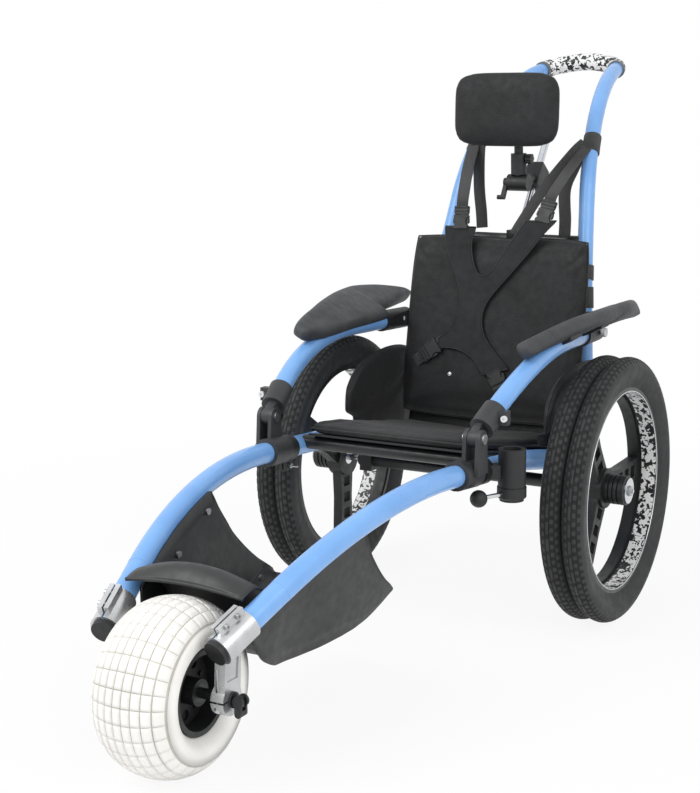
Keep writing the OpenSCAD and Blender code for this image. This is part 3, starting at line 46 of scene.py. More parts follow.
X = Vector((1, 0, 0))
Z = Vector((0, 0, 1))


def middle(node):
    low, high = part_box(node)
    return (low + high) / 2


AXLE = middle("rear_axle_tube")


def at(x, y, z):
    """The point that lies x, y, z millimetres from the rear axle's middle, at floor height."""
    return Vector((x * MM, AXLE.y + y * MM, z * MM))


def mirrored(points):
    return [Vector((-p.x, p.y, p.z)) for p in points]


# Camera and light

CAMERA_PLACE = at(1322.9, -2778.6, 980.75)
CAMERA_TURN = math.radians(29.7)
CAMERA_DROP = math.radians(10.7)
CAMERA_ROLL = math.radians(-0.31)
CAMERA_LENS = 72.51
SENSOR = 36.0


def add_camera():
    camera = bpy.data.objects.new("camera", bpy.data.cameras.new("camera"))
    camera.data.lens = CAMERA_LENS
    camera.data.sensor_width = SENSOR
    back = Vector((math.sin(CAMERA_TURN) * math.cos(CAMERA_DROP),
                   -math.cos(CAMERA_TURN) * math.cos(CAMERA_DROP), math.sin(CAMERA_DROP)))
    right = Vector((math.cos(CAMERA_TURN), math.sin(CAMERA_TURN), 0))
    up = back.cross(right)
    rolled = right * math.cos(CAMERA_ROLL) + up * math.sin(CAMERA_ROLL)
    upright = up * math.cos(CAMERA_ROLL) - right * math.sin(CAMERA_ROLL)
    turn = Matrix((rolled, upright, back)).transposed().to_4x4()
    camera.matrix_world = Matrix.Translation(CAMERA_PLACE) @ turn
    bpy.context.scene.collection.objects.link(camera)
    bpy.context.scene.camera = camera


def add_lamp(name, place, aim, size, power):
    lamp = bpy.data.lights.new(name, "AREA")
    lamp.size = size
    lamp.energy = power
    holder = bpy.data.objects.new(name, lamp)
    holder.location = place
    holder.rotation_euler = (Vector(aim) - Vector(place)).to_track_quat("-Z", "Y").to_euler()
    bpy.context.scene.collection.objects.link(holder)


def seen_or_mirrored(tree):
    """1 for camera, glossy and transmission rays, which see the plain white background."""
    path = tree.nodes.new("ShaderNodeLightPath")
    first = tree.nodes.new("ShaderNodeMath")
    first.operation = "MAXIMUM"
    second = tree.nodes.new("ShaderNodeMath")
    second.operation = "MAXIMUM"
    tree.links.new(path.outputs["Is Camera Ray"], first.inputs[0])
    tree.links.new(path.outputs["Is Glossy Ray"], first.inputs[1])
    tree.links.new(first.outputs[0], second.inputs[0])
    tree.links.new(path.outputs["Is Transmission Ray"], second.inputs[1])
    return second.outputs[0]


def add_world(light, shown):
    world = bpy.data.worlds.new("studio")
    bpy.context.scene.world = world
    world.use_nodes = True
    tree = world.node_tree
    background = tree.nodes["Background"]
    background.inputs["Color"].default_value = (1, 1, 1, 1)
    mix = tree.nodes.new("ShaderNodeMix")
    mix.inputs["A"].default_value = light
    mix.inputs["B"].default_value = shown
    tree.links.new(seen_or_mirrored(tree), mix.inputs["Factor"])
    tree.links.new(mix.outputs["Result"], background.inputs["Strength"])


def add_floor(half):
    floor = flat_object("floor", [Vector((x, y, 0)) for x, y in
                                  ((-half, -half), (half, -half), (half, half), (-half, half))])
    mat = bpy.data.materials.new("floor")
    mat.use_nodes = True
    tree = mat.node_tree
    bsdf = tree.nodes["Principled BSDF"]
    bsdf.inputs["Base Color"].default_value = (0.9, 0.9, 0.9, 1)
    bsdf.inputs["Roughness"].default_value = 0.9
    bsdf.inputs["Specular IOR Level"].default_value = 0.0
    glow = tree.nodes.new("ShaderNodeEmission")
    mix = tree.nodes.new("ShaderNodeMixShader")
    coords = tree.nodes.new("ShaderNodeTexCoord")
    far = tree.nodes.new("ShaderNodeVectorMath")
    far.operation = "LENGTH"
    fade = tree.nodes.new("ShaderNodeMapRange")
    for name, value in (("From Min", 0.9), ("From Max", 1.9), ("To Min", 0.9), ("To Max", 1.0)):
        fade.inputs[name].default_value = value
    share = tree.nodes.new("ShaderNodeMath")
    share.operation = "MULTIPLY"
    tree.links.new(coords.outputs["Object"], far.inputs[0])
    tree.links.new(far.outputs["Value"], fade.inputs["Value"])
    tree.links.new(fade.outputs[0], share.inputs[1])
    tree.links.new(seen_or_mirrored(tree), share.inputs[0])
    tree.links.new(share.outputs[0], mix.inputs["Fac"])
    tree.links.new(bsdf.outputs[0], mix.inputs[1])
    tree.links.new(glow.outputs[0], mix.inputs[2])
    tree.links.new(mix.outputs[0], tree.nodes["Material Output"].inputs["Surface"])
    floor.data.materials.append(mat)


def flat_object(name, corners):
    mesh = bpy.data.meshes.new(name)
    mesh.from_pydata(corners, [], [list(range(len(corners)))])
    thing = bpy.data.objects.new(name, mesh)
    bpy.context.scene.collection.objects.link(thing)
    return thing


# Materials

def rgb(code):
    """A linear colour from six hexadecimal sRGB digits."""
    parts = [int(code[i:i + 2], 16) / 255 for i in (0, 2, 4)]
    return [c / 12.92 if c <= 0.04045 else ((c + 0.055) / 1.055) ** 2.4 for c in parts] + [1.0]


class Finish:
    """A procedural material: a Principled shader with texture nodes in object coordinates."""

    def __init__(self, name, rough, metallic=0.0, coat=0.0, sheen=0.0, specular=0.5):
        self.mat = bpy.data.materials.new(name)
        self.mat.use_nodes = True
        self.tree = self.mat.node_tree
        self.bsdf = self.tree.nodes["Principled BSDF"]
        self.coords = self.tree.nodes.new("ShaderNodeTexCoord")
        self.bsdf.inputs["Roughness"].default_value = rough
        self.bsdf.inputs["Metallic"].default_value = metallic
        self.bsdf.inputs["Coat Weight"].default_value = coat
        self.bsdf.inputs["Coat Roughness"].default_value = 0.12
        self.bsdf.inputs["Sheen Weight"].default_value = sheen
        self.bsdf.inputs["Sheen Roughness"].default_value = 0.6
        self.bsdf.inputs["Specular IOR Level"].default_value = specular

    def texture(self, kind, scale, source="Object", **settings):
        node = self.tree.nodes.new("ShaderNodeTex" + kind)
        self.tree.links.new(self.coords.outputs[source], node.inputs["Vector"])
        node.inputs["Scale"].default_value = scale
        for key, value in settings.items():
            if hasattr(node, key):
                setattr(node, key, value)
            else:
                node.inputs[key.replace("_", " ").title()].default_value = value
        return node.outputs["Distance"] if kind == "Voronoi" else node.outputs[0]

    def math(self, operation, a, b):
        node = self.tree.nodes.new("ShaderNodeMath")
        node.operation = operation
        for socket, value in zip(node.inputs, (a, b)):
            if isinstance(value, (int, float)):
                socket.default_value = value
            else:
                self.tree.links.new(value, socket)
        return node.outputs[0]

    def ramp(self, value, *stops, constant=False):
        node = self.tree.nodes.new("ShaderNodeValToRGB")
        node.color_ramp.interpolation = "CONSTANT" if constant else "LINEAR"
        while len(node.color_ramp.elements) < len(stops):
            node.color_ramp.elements.new(0.5)
        for element, (place, colour) in zip(node.color_ramp.elements, stops):
            element.position = place
            element.color = rgb(colour) if isinstance(colour, str) else [colour] * 3 + [1]
        self.tree.links.new(value, node.inputs["Fac"])
        return node.outputs["Color"]

    def colour(self, output):
        self.tree.links.new(output, self.bsdf.inputs["Base Color"])
        return self

    def rough(self, value, low, high):
        node = self.tree.nodes.new("ShaderNodeMapRange")
        node.inputs["From Min"].default_value = 0.3
        node.inputs["From Max"].default_value = 0.7
        node.inputs["To Min"].default_value = low
        node.inputs["To Max"].default_value = high
        self.tree.links.new(value, node.inputs["Value"])
        self.tree.links.new(node.outputs[0], self.bsdf.inputs["Roughness"])
        return self

    def bump(self, height, depth, strength=0.6):
        node = self.tree.nodes.new("ShaderNodeBump")
        node.inputs["Distance"].default_value = depth
        node.inputs["Strength"].default_value = strength
        before = self.bsdf.inputs["Normal"].links
        if before:
            self.tree.links.new(before[0].from_socket, node.inputs["Normal"])
        self.tree.links.new(height, node.inputs["Height"])
        self.tree.links.new(node.outputs[0], self.bsdf.inputs["Normal"])
        return self


def mottled(name, dark, light, rough, grain, depth, spread=14, **shader):
    """A finish whose colour drifts between two shades, with a fine grain of the given size per metre."""
    f = Finish(name, rough, **shader)
    drift = f.texture("Noise", spread, detail=4.0)
    f.colour(f.ramp(drift, (0.3, dark), (0.7, light)))
    f.rough(f.texture("Noise", spread * 5, detail=3.0), rough - 0.07, rough + 0.09)
    f.bump(f.texture("Noise", grain, detail=2.0), depth)
    return f


def pebbled(name, dark, light, rough, cell, depth, **shader):
    """Moulded or sewn skin with a pebble grain: cells of the given number per metre."""
    f = mottled(name, dark, light, rough, cell * 0.12, depth * 2, **shader)
    f.bump(f.texture("Voronoi", cell), depth, 0.8)
    return f


def woven(name, dark, light, pitch):
    """Webbing: ribs across the band and cords along it, from the band's own UV in metres."""
    f = Finish(name, 0.72, sheen=0.25)
    ribs = f.texture("Wave", 1 / pitch, "UV", bands_direction="X", distortion=0.6)
    cords = f.texture("Wave", 0.6 / pitch, "UV", bands_direction="Y", distortion=0.4)
    # The colour darkens where the ribs and cords are low: painted shade in the weave.
    f.colour(f.ramp(f.math("MULTIPLY", ribs, cords), (0.1, dark), (0.8, light)))
    f.bump(ribs, 0.0006, 0.8)
    return f.bump(cords, 0.0004, 0.5)


def blotched(name, scale):
    """Generic black, white and grey blotches."""
    f = Finish(name, 0.42)
    big = f.texture("Noise", scale, detail=1.2, distortion=0.9)
    small = f.texture("Noise", scale * 2.1, detail=0.6, distortion=0.5)
    both = f.math("ADD", f.math("MULTIPLY", big, 0.65), f.math("MULTIPLY", small, 0.35))
    f.colour(f.ramp(both, (0.0, "17181a"), (0.475, "8c8e90"), (0.49, "f2f2f0"), constant=True))
    return f.bump(f.texture("Noise", 900), 0.00006)


def make_finishes():
    return {
        "blue": mottled("blue_paint", "74a9e8", "7fb3ef", 0.34, 900, 0.00003, coat=0.3),
        "cast": mottled("cast_alloy", "b4b6b8", "d6d7d8", 0.3, 1500, 0.00005, metallic=0.85),
        "chrome": mottled("chrome", "c4c6ca", "dcdee0", 0.16, 700, 0.00001, metallic=1.0),
        "zinc": mottled("zinc_plate", "a2a4a6", "c0c1c2", 0.32, 900, 0.00003, metallic=1.0),
        "dull": mottled("dull_steel", "3c3d3f", "55575a", 0.4, 900, 0.00003, metallic=0.8),
        "steel": mottled("black_steel", "141516", "1f2022", 0.42, 900, 0.00003, coat=0.15),
        "plastic": pebbled("moulded_black", "151617", "202123", 0.5, 1800, 0.00006),
        "grey": pebbled("moulded_grey", "2a2b2d", "38393b", 0.48, 1600, 0.00006),
        "trough": pebbled("trough_black", "1d1e1f", "2a2b2c", 0.44, 900, 0.00006),
        "rubber": mottled("tyre_black", "232425", "313233", 0.66, 1300, 0.00006),
        # The two tread finishes are darker copies of the tyre colours: painted shade for the faces in the
        # tyres' cuts.
        "tread": mottled("groove_painted_shade_black", "121313", "191a1a", 0.8, 1300, 0.00006),
        "white": mottled("tyre_white", "eeece7", "f8f7f3", 0.62, 900, 0.00006),
        "white_groove_shade": mottled("groove_painted_shade_white", "b4b1a8", "cdcac2", 0.75, 900, 0.00006),
        "vinyl": pebbled("upholstery", "111213", "1a1b1d", 0.64, 400, 0.0004, sheen=0.06, specular=0.35),
        "foam": pebbled("pad_foam", "343639", "45474a", 0.62, 1500, 0.00012),
        "neoprene": pebbled("harness_cloth", "18191b", "222325", 0.78, 1400, 0.00012, sheen=0.1,
                            specular=0.35),
        "piping": mottled("piping", "0d0e0f", "191a1b", 0.55, 1200, 0.00006),
        "web": woven("webbing", "101112", "232426", 0.0016),
        "blotch": blotched("blotches", 85),
        "ring_grey": mottled("grip_ring", "5d5f63", "77797c", 0.5, 900, 0.00004),
        "pale": mottled("pale_pin", "d8d9da", "eceded", 0.4, 900, 0.00003),
    }


add_camera()
finish = make_finishes()

NODE_FINISHES = {
    "blue": ["side_rails", "push_bar", "arm_tube_left", "arm_tube_right"],
    "cast": ["fork_arms"],
    "zinc": ["frame_screws", "pivot_pins", "stub_axles"],
    "chrome": ["head_post", "lock_rod", "hub_metal_left", "hub_metal_right",
               "button_left", "button_right"],
    "pale": ["arm_fasteners_left", "arm_fasteners_right"],
    "steel": ["front_axle", "rear_axle_tube", "cross_tubes", "back_cross", "wheel_rim_left",
              "wheel_rim_right"],
    "plastic": ["rail_plugs", "axle_lever", "front_rim", "spider_left", "spider_right", "rear_castings",
                "rail_clips", "lock_handle", "lock_collars", "head_block", "head_stem", "head_knob",
                "head_lever", "head_plate", "accessory_socket", "seat_pan", "arm_mounts_left",
                "arm_mounts_right", "buckles"],
    "grey": ["knuckles", "arm_knuckle_left", "arm_knuckle_right"],
    "trough": ["foot_trough"],
    "blotch": ["grip"],
    "ring_grey": ["grip_rings"],
    "dull": ["front_fittings"],
    "rubber": ["tyres_left", "tyres_right"],
    "white": ["front_tyre"],
    "vinyl": ["seat_cushion", "side_bolsters", "back_panel", "head_pad"],
    "foam": ["arm_pad_left", "arm_pad_right"],
    "neoprene": ["harness"],
    "web": ["webbing"],
}


def dress_nodes():
    for key, names in NODE_FINISHES.items():
        for name in names:
            for slot in nodes[name].material_slots:
                slot.material = finish[key].mat


dress_nodes()


# Mesh helpers

def build(name, points, faces, body, key, uv=None, smooth=True):
    """A mesh object in the frame, with a finish, riding on a body."""
    mesh = bpy.data.meshes.new(name)
    mesh.from_pydata([tuple(p) for p in points], [], faces)
    if uv:
        layer = mesh.uv_layers.new(name="band")
        for loop in mesh.loops:
            layer.data[loop.index].uv = uv[loop.vertex_index]
    for face in mesh.polygons:
        face.use_smooth = smooth
    mesh.materials.append(finish[key].mat)
    thing = bpy.data.objects.new(name, mesh)
    bpy.context.scene.collection.objects.link(thing)
    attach(thing, body)
    return thing


def grid_faces(rows, columns, close_rows=False, close_columns=False, first=0):
    """Quads of a grid of points kept row by row."""
    faces = []
    for i in range(rows if close_rows else rows - 1):
        for j in range(columns if close_columns else columns - 1):
            k = (i + 1) % rows
            m = (j + 1) % columns
            faces.append([first + i * columns + j, first + i * columns + m, first + k * columns + m,
                          first + k * columns + j])
    return faces


def smooth_path(points, steps, closed=False):
    """A Catmull-Rom curve through the points."""
    count = len(points)
    out = []
    for i in range(count if closed else count - 1):
        if closed:
            a, b, c, d = (points[(i + k) % count] for k in (-1, 0, 1, 2))
        else:
            a, b, c, d = (points[min(max(i + k, 0), count - 1)] for k in (-1, 0, 1, 2))
        for s in range(steps):
            t = s / steps
            out.append(0.5 * (2 * b + (c - a) * t + (2 * a - 5 * b + 4 * c - d) * t * t
                              + (3 * b - a - 3 * c + d) * t ** 3))
    if not closed:
        out.append(points[-1].copy())
    return out


class Shape:
    """Points and faces gathered for one object."""

    def __init__(self):
        self.points = []
        self.faces = []
        self.uv = []

    def grid(self, rows, close_rows=False, close_columns=False, uv=None):
        columns = len(rows[0])
        self.faces += grid_faces(len(rows), columns, close_rows, close_columns, len(self.points))
        for i, row in enumerate(rows):
            for j, p in enumerate(row):
                self.points.append(p)
                self.uv.append(uv(i, j) if uv else (p.x + p.y, p.z))

    def cap(self, first, count):
        self.faces.append(list(range(first, first + count)))

    def cord(self, path, radius, sides=8, closed=False):
        """A round tube along a path."""
        rows = []
        side = None
        count = len(path)
        for i, p in enumerate(path):
            ahead = path[(i + 1) % count] if closed else path[min(i + 1, count - 1)]
            along = (ahead - path[i - 1] if closed or i else ahead - p).normalized()
            hint = side or (X if abs(along.x) < 0.8 else Z)
            side = (hint - along * hint.dot(along)).normalized()
            other = along.cross(side)
            rows.append([p + (side * math.cos(a) + other * math.sin(a)) * radius
                         for a in (2 * math.pi * k / sides for k in range(sides))])
        start = len(self.points)
        self.grid(rows, closed, True)
        if not closed:
            self.cap(start, sides)
            self.cap(start + (count - 1) * sides, sides)

    def band(self, path, across, width, thick, closed=False):
        """A flat strap along a path; across gives the width's direction at each point."""
        section = ((-0.5, -0.3), (-0.47, -0.5), (0.47, -0.5), (0.5, -0.3), (0.5, 0.3), (0.47, 0.5),
                   (-0.47, 0.5), (-0.5, 0.3))
        rows = []
        run = [0.0]
        count = len(path)
        for i, p in enumerate(path):
            ahead = path[(i + 1) % count] if closed else path[min(i + 1, count - 1)]
            along = (ahead - path[i - 1] if closed or i else ahead - p).normalized()
            wide = (across[i] - along * across[i].dot(along)).normalized()
            up = wide.cross(along)
            rows.append([p + wide * a * width + up * b * thick for a, b in section])
            run.append(run[-1] + (ahead - p).length)
        start = len(self.points)
        self.grid(rows, closed, True, lambda i, j: (run[i], section[j][0] * width))
        if not closed:
            self.cap(start, len(section))
            self.cap(start + (count - 1) * len(section), len(section))

    def make(self, name, body, key, smooth=True):
        return build(name, self.points, self.faces, body, key, self.uv, smooth)


def spread(count, ease=0.5):
    """Values from -1 to 1 that crowd toward both ends."""
    flat = [2 * i / (count - 1) - 1 for i in range(count)]
    return [(1 - ease) * t + ease * math.sin(t * math.pi / 2) for t in flat]


def pad(name, plane, normal, top, bottom, edge, counts, body, key="vinyl", welt=0.0,
        puff=0.0):
    """A closed padded form: plane(u, v) is its middle surface, top and bottom its heights over it.
    edge is the share of the half size over which the sides round off; welt is a sewn cord's radius,
    puff the most that a cloth simulation lifts the top."""
    us, vs = spread(counts[0], 0.75), spread(counts[1], 0.75)

    def roll(u, v):
        far = max((abs(u) - 1 + edge) / edge, (abs(v) - 1 + edge) / edge, 0.0)
        return math.sqrt(max(0.0, 1 - min(1.0, far) ** 2.2))

    shape = Shape()
    for sign, height in ((1, top), (-1, bottom)):
        rows = [[plane(u, v) + normal * sign * height(u, v) * roll(u, v) for v in vs] for u in us]
        shape.grid(rows if sign > 0 else rows[::-1])
    thing = shape.make(name, body, key)
    seal(thing)
    if puff:
        fill_out(thing, normal, puff)
    if welt:
        rim = [plane(u, vs[0]) for u in us] + [plane(us[-1], v) for v in vs[1:]]
        rim += [plane(u, vs[-1]) for u in us[-2::-1]] + [plane(us[0], v) for v in vs[-2:0:-1]]
        cord = Shape()
        cord.cord(rim, welt, 8, True)
        cord.make(name + "_welt", body, "piping")
    return thing


def seal(thing):
    """Joins the edges of a form that was made of two sheets and turns its faces outward."""
    clean = bmesh.new()
    clean.from_mesh(thing.data)
    bmesh.ops.remove_doubles(clean, verts=clean.verts, dist=0.00002)
    bmesh.ops.recalc_face_normals(clean, faces=clean.faces)
    clean.to_mesh(thing.data)
    clean.free()


VOXEL = 5 * MM
FRAMES = 20
PRESSURE = 4.0
# faces turned less than this toward the pad's front are held
HELD_BELOW = 0.35


def settled(thing):
    """The mesh that the object's modifiers make."""
    view = bpy.context.evaluated_depsgraph_get()
    return bpy.data.meshes.new_from_object(thing.evaluated_get(view))


def fill_out(thing, normal, most):
    """Blows the form's top up by cloth simulation. The back and the sewn rim stay where they are,
    and no point moves further than most."""
    even = thing.modifiers.new("even", "REMESH")
    even.mode = "VOXEL"
    even.voxel_size = VOXEL
    bpy.context.view_layer.update()
    thing.data = settled(thing)
    thing.modifiers.clear()
    start = [v.co.copy() for v in thing.data.vertices]
    held = [v.index for v in thing.data.vertices if v.normal.dot(normal) < HELD_BELOW]
    thing.vertex_groups.new(name="held").add(held, 1.0, "ADD")
    cloth = thing.modifiers.new("cloth", "CLOTH")
    cloth.settings.vertex_group_mass = "held"
    cloth.settings.use_pressure = True
    cloth.settings.uniform_pressure_force = PRESSURE
    cloth.settings.effector_weights.gravity = 0.0
    cloth.point_cache.frame_end = FRAMES
    for step in range(1, FRAMES + 1):
        bpy.context.scene.frame_set(step)
    moved = settled(thing)
    thing.modifiers.clear()
    for vertex, old, new in zip(thing.data.vertices, start, moved.vertices):
        shift = new.co - old
        if shift.length > most:
            shift *= most / shift.length
        vertex.co = old + shift
    bpy.data.meshes.remove(moved)
    bpy.context.scene.frame_set(1)
    for face in thing.data.polygons:
        face.use_smooth = True
    relax = thing.modifiers.new("relax", "SMOOTH")
    relax.iterations = 4
    thing.modifiers.new("round", "SUBSURF").levels = 1


def soft_square(u, v, corner, bend=2):
    """Maps the unit square to one with round corners."""
    return u * math.sqrt(1 - corner * abs(v) ** bend / 2), v * math.sqrt(1 - corner * abs(u) ** bend / 2)


def ease(t, low, high):
    """Rises smoothly from 0 to 1 between two values."""
    t = min(1.0, max(0.0, (t - low) / (high - low)))
    return t * t * (3 - 2 * t)


def between(rows, place):
    """The row of a table at a place, which its first column gives."""
    for low, high in zip(rows, rows[1:]):
        if place <= high[0]:
            share = (place - low[0]) / (high[0] - low[0])
            return [a + (b - a) * share for a, b in zip(low, high)]
    return list(rows[-1])


def smoothed(rows, steps):
    """The same table with more rows, on a smooth curve."""
    return [tuple(p) for p in smooth_path([Vector(row) for row in rows], steps)]


def wrinkle(p, scale, depth):
    return depth * noise.noise(p * scale)


# Tyres

REAR_BLOCKS = 98
BLOCK_STEPS = 4
REAR_PHIS = (-128, -105, -88, -72, -60, -50, -41, -38, -35, -33, -22, -14, -12, -9, -7, 0,
             7, 9, 12, 14, 22, 33, 35, 38, 41, 50, 60, 72, 88, 105, 128)
TREAD_DEPTH = 1.3 * MM
TYRE_GAP = 0.2 * MM
BEAD_HALF = 9 * MM
BEAD_DROP = 6 * MM


def rear_tread(phi, step):
    """How deep the tread is cut at a section angle in degrees and a step round the wheel."""
    far = abs(phi)
    beat = step % BLOCK_STEPS
    if 9 <= far <= 12 or 35 <= far <= 38:
        return TREAD_DEPTH
    if 14 <= far < 35:
        return TREAD_DEPTH if beat == (0 if phi > 0 else 2) else 0.0
    if far <= 7:
        return TREAD_DEPTH if beat == 1 and (step // BLOCK_STEPS) % 2 else 0.0
    if 41 <= far <= 60:
        return TREAD_DEPTH * 0.6 if beat == (2 if phi > 0 else 0) else 0.0
    return 0.0


def darken_cuts(thing, key, cut, least):
    """Gives the faces with at least that many points low in the tread another, darker finish, which paints the
    shade in the tyre's cuts.
    """
    thing.data.materials.append(finish[key].mat)
    for face in thing.data.polygons:
        if sum(cut[v] for v in face.vertices) >= least:
            face.material_index = 1


def rear_tyres(side):
    low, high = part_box("tyres_" + side)
    centre = (low + high) / 2
    tube = (high.x - low.x) / 4 - TYRE_GAP / 2
    ring = (high.z - low.z) / 2 - tube
    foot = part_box("wheel_rim_" + side)
    seat = (foot[1].z - foot[0].z) / 2 - BEAD_DROP
    steps = REAR_BLOCKS * BLOCK_STEPS
    cuts = []
    shape = Shape()
    for half in (-1, 1):
        x0 = centre.x + half * (tube + TYRE_GAP)
        rows = []
        for step in range(steps):
            angle = 2 * math.pi * step / steps
            out = Vector((0, math.cos(angle), math.sin(angle)))
            row = [Vector((x0 - BEAD_HALF, centre.y, centre.z)) + out * seat]
            cuts += [False] + [rear_tread(phi, step) > 0 for phi in REAR_PHIS] + [False]
            for phi in REAR_PHIS:
                a = math.radians(phi)
                size = tube - rear_tread(phi, step)
                middle_line = Vector((x0 + size * math.sin(a), centre.y, centre.z))
                row.append(middle_line + out * (ring + size * math.cos(a)))
            row.append(Vector((x0 + BEAD_HALF, centre.y, centre.z)) + out * seat)
            rows.append(row)
        shape.grid(rows, True, True)
    tyres = shape.make("rear_tyres_" + side, "wheel_" + side, "rubber")
    # the faces in the tread cuts get the darker finish as painted shade
    darken_cuts(tyres, "tread", cuts, 2)
    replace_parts(tyres, "tyres_" + side)


FRONT_RIBS = 9
FRONT_BLOCKS = 33
FRONT_TALL = 0.343
FRONT_DEEP = 0.25
GROOVE_TOP = 1.9 * MM
GROOVE_FOOT = 1.1 * MM
RIB_CUT = 2.6
BLOCK_CUT = 2.2
INNER_STEPS = 24
# where the rows of points stand in a block, as shares of it, and how deep its cross cut is there
FRONT_STEPS = ((-0.05, 0), (-0.025, 1), (0.025, 1), (0.05, 0), (0.25, 0), (0.5, 0), (0.75, 0))


def front_tyre():
    low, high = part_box("front_tyre")
    centre = (low + high) / 2
    half = (high.x - low.x) / 2
    radius = (high.z - low.z) / 2
    tall = FRONT_TALL * radius
    deep = FRONT_DEEP * radius
    pitch = half * 1.84 / FRONT_RIBS
    edges = []
    for k in range(FRONT_RIBS + 1):
        x = (k - FRONT_RIBS / 2) * pitch
        edges += [(x - GROOVE_TOP, 0.0), (x - GROOVE_FOOT, 1.0), (x + GROOVE_FOOT, 1.0), (x + GROOVE_TOP, 0.0)]
        if k < FRONT_RIBS:
            edges += [(x + pitch * 0.35, 0.0), (x + pitch * 0.65, 0.0)]
    section = [(x, deep_share) for x, deep_share in edges if abs(x) < half * 0.975]
    rows = []
    cuts = []
    for block, (share, low_cut) in ((b, step) for b in range(FRONT_BLOCKS) for step in FRONT_STEPS):
        angle = 2 * math.pi * (block + share) / FRONT_BLOCKS
        out = Vector((0, math.cos(angle), math.sin(angle)))
        row = []
        for x, cut in section:
            lie = math.sqrt(max(0.0, 1 - (x / half) ** 2))
            slot = low_cut if abs(x) < half * 0.9 else 0
            r = radius - tall + tall * lie - max(cut * RIB_CUT, slot * BLOCK_CUT) * MM
            cuts.append(cut > 0 or slot > 0)
            row.append(Vector((centre.x + x, centre.y, centre.z)) + out * r)
        cuts += [False] * (INNER_STEPS - 1)
        for k in range(1, INNER_STEPS):
            a = math.pi * k / INNER_STEPS
            x = half * math.cos(a) * (1 if 2 < k < INNER_STEPS - 2 else 0.995)
            r = radius - tall - deep * math.sin(a)
            row.append(Vector((centre.x + x, centre.y, centre.z)) + out * r)
        rows.append(row)
    shape = Shape()
    shape.grid(rows, True, True)
    tyre = shape.make("balloon_tyre", "front_wheel", "white")
    # the faces in the grooves and cross cuts get the darker finish as painted shade
    darken_cuts(tyre, "white_groove_shade", cuts, 4)
    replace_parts(tyre, "front_tyre")


def circle(centre, radius, count):
    return [centre + Vector((0, math.cos(a), math.sin(a))) * radius
            for a in (2 * math.pi * k / count for k in range(count))]


RIM_WALL = 13.4 * MM
RIM_STEPS = 180


def rim_trim(side):
    """Blotched tape on the outer half of the rim's inner wall, and the rim's bright edge."""
    low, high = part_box("wheel_rim_" + side)
    centre = (low + high) / 2
    sign = 1 if side == "left" else -1
    inner = (high.z - low.z) / 2 - RIM_WALL
    half = (high.x - low.x) / 2
    tape = Shape()
    ring = circle(centre + X * sign * half * 0.46, inner, RIM_STEPS)
    tape.band(ring, [X] * len(ring), half * 0.98, 0.5 * MM, True)
    tape.make("rim_tape_" + side, "wheel_" + side, "blotch")
    edge = Shape()
    edge.cord(circle(centre + X * sign * half, inner + 0.9 * MM, RIM_STEPS), 1.1 * MM, 8, True)
    edge.make("rim_edge_" + side, "wheel_" + side, "chrome")


rear_tyres("left")
rear_tyres("right")
front_tyre()
rim_trim("left")
rim_trim("right")


# Cushions and pads

def seat_cushion():
    front, rear = at(158, -337, 384), at(177, 68, 309)

    def plane(u, v):
        u, v = soft_square(u, v, 0.1)
        t = (v + 1) / 2
        return Vector((u * (front.x + (rear.x - front.x) * t), front.y + (rear.y - front.y) * t,
                       front.z + (rear.z - front.z) * t))

    def top(u, v):
        dish = 4 * MM * (u * u) - 4 * MM * (1 - u * u) * (1 - v * v)
        return 14 * MM + dish + wrinkle(plane(u, v), 18, 1.2 * MM)

    cushion = pad("seat_pad", plane, Z, top, lambda u, v: 10.5 * MM, 0.12, (40, 44), "chassis",
                  welt=1.8 * MM, puff=5 * MM)
    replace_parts(cushion, "seat_cushion")


# places along a side bolster from front to rear, with the lower edge of its flap and of its pad,
# and its upper edge
BOLSTER_ROWS = smoothed(((-104, 346, 362, 390), (-92, 340, 358, 414), (-68, 334, 357, 441),
                         (-33, 329, 357, 459), (10, 316, 359, 468), (52, 300, 364, 473),
                         (90, 296, 379, 473), (124, 304, 401, 470), (152, 330, 421, 464)), 4)
BOLSTER_MIDDLE = 24
BOLSTER_HALF = 128
FLAP_X = 195.6
BOLSTER_SHIFT = 15.4
# where the flap ends and the pad starts, from -1 at the hem to 1 at the top
FLAP = -0.45


def side_bolster(sign):
    """A pad over the rail whose cover runs down as a thin flap between the rail and the seat."""
    def plane(u, v):
        u, v = soft_square(u, v, 0.12, 4)
        y = BOLSTER_MIDDLE + BOLSTER_HALF * u
        _, hem, low, high = between(BOLSTER_ROWS, y)
        if v < FLAP:
            z = low + (hem - low) * (FLAP - v) / (1 + FLAP)
        else:
            z = low + (high - low) * (v - FLAP) / (1 - FLAP)
        return at(sign * (FLAP_X + BOLSTER_SHIFT * ease(v, FLAP - 0.1, FLAP + 0.35)), y, z)

    def half(u, v):
        full = ease(v, FLAP - 0.05, FLAP + 0.4)
        return (0.9 + 7.1 * full + 3.5 * full * (1 - u ** 4) * (1 - v ** 4)) * MM

    name = "bolster_left" if sign > 0 else "bolster_right"
    return pad(name, plane, X * -sign, half, half, 0.16, (44, 44), "chassis",
               welt=1.2 * MM)


PANEL = at(0, 137.4, 516.5)
PANEL_UP = Vector((0, 50, 272)).normalized()
PANEL_OUT = X.cross(PANEL_UP)
PANEL_HALF = Vector((191.5, 184.5)) * MM
PANEL_REAR = 22 * MM
FLAP_WIDE = 372 * MM
PANEL_WING = 14 * MM
PANEL_SEAM = 6 * MM
PANEL_CROWN = 3.5 * MM
# the flap's heights on the panel, and how far behind its middle plane it hangs there
FLAP_LINE = ((352, -14), (338, -15), (320, -13), (304, -14))
FLAP_THICK = 2 * MM
SNAP_PLACE = (-83.3, 418.5)
SNAP_OUT = 22
SNAP_RADIUS = 4.5 * MM
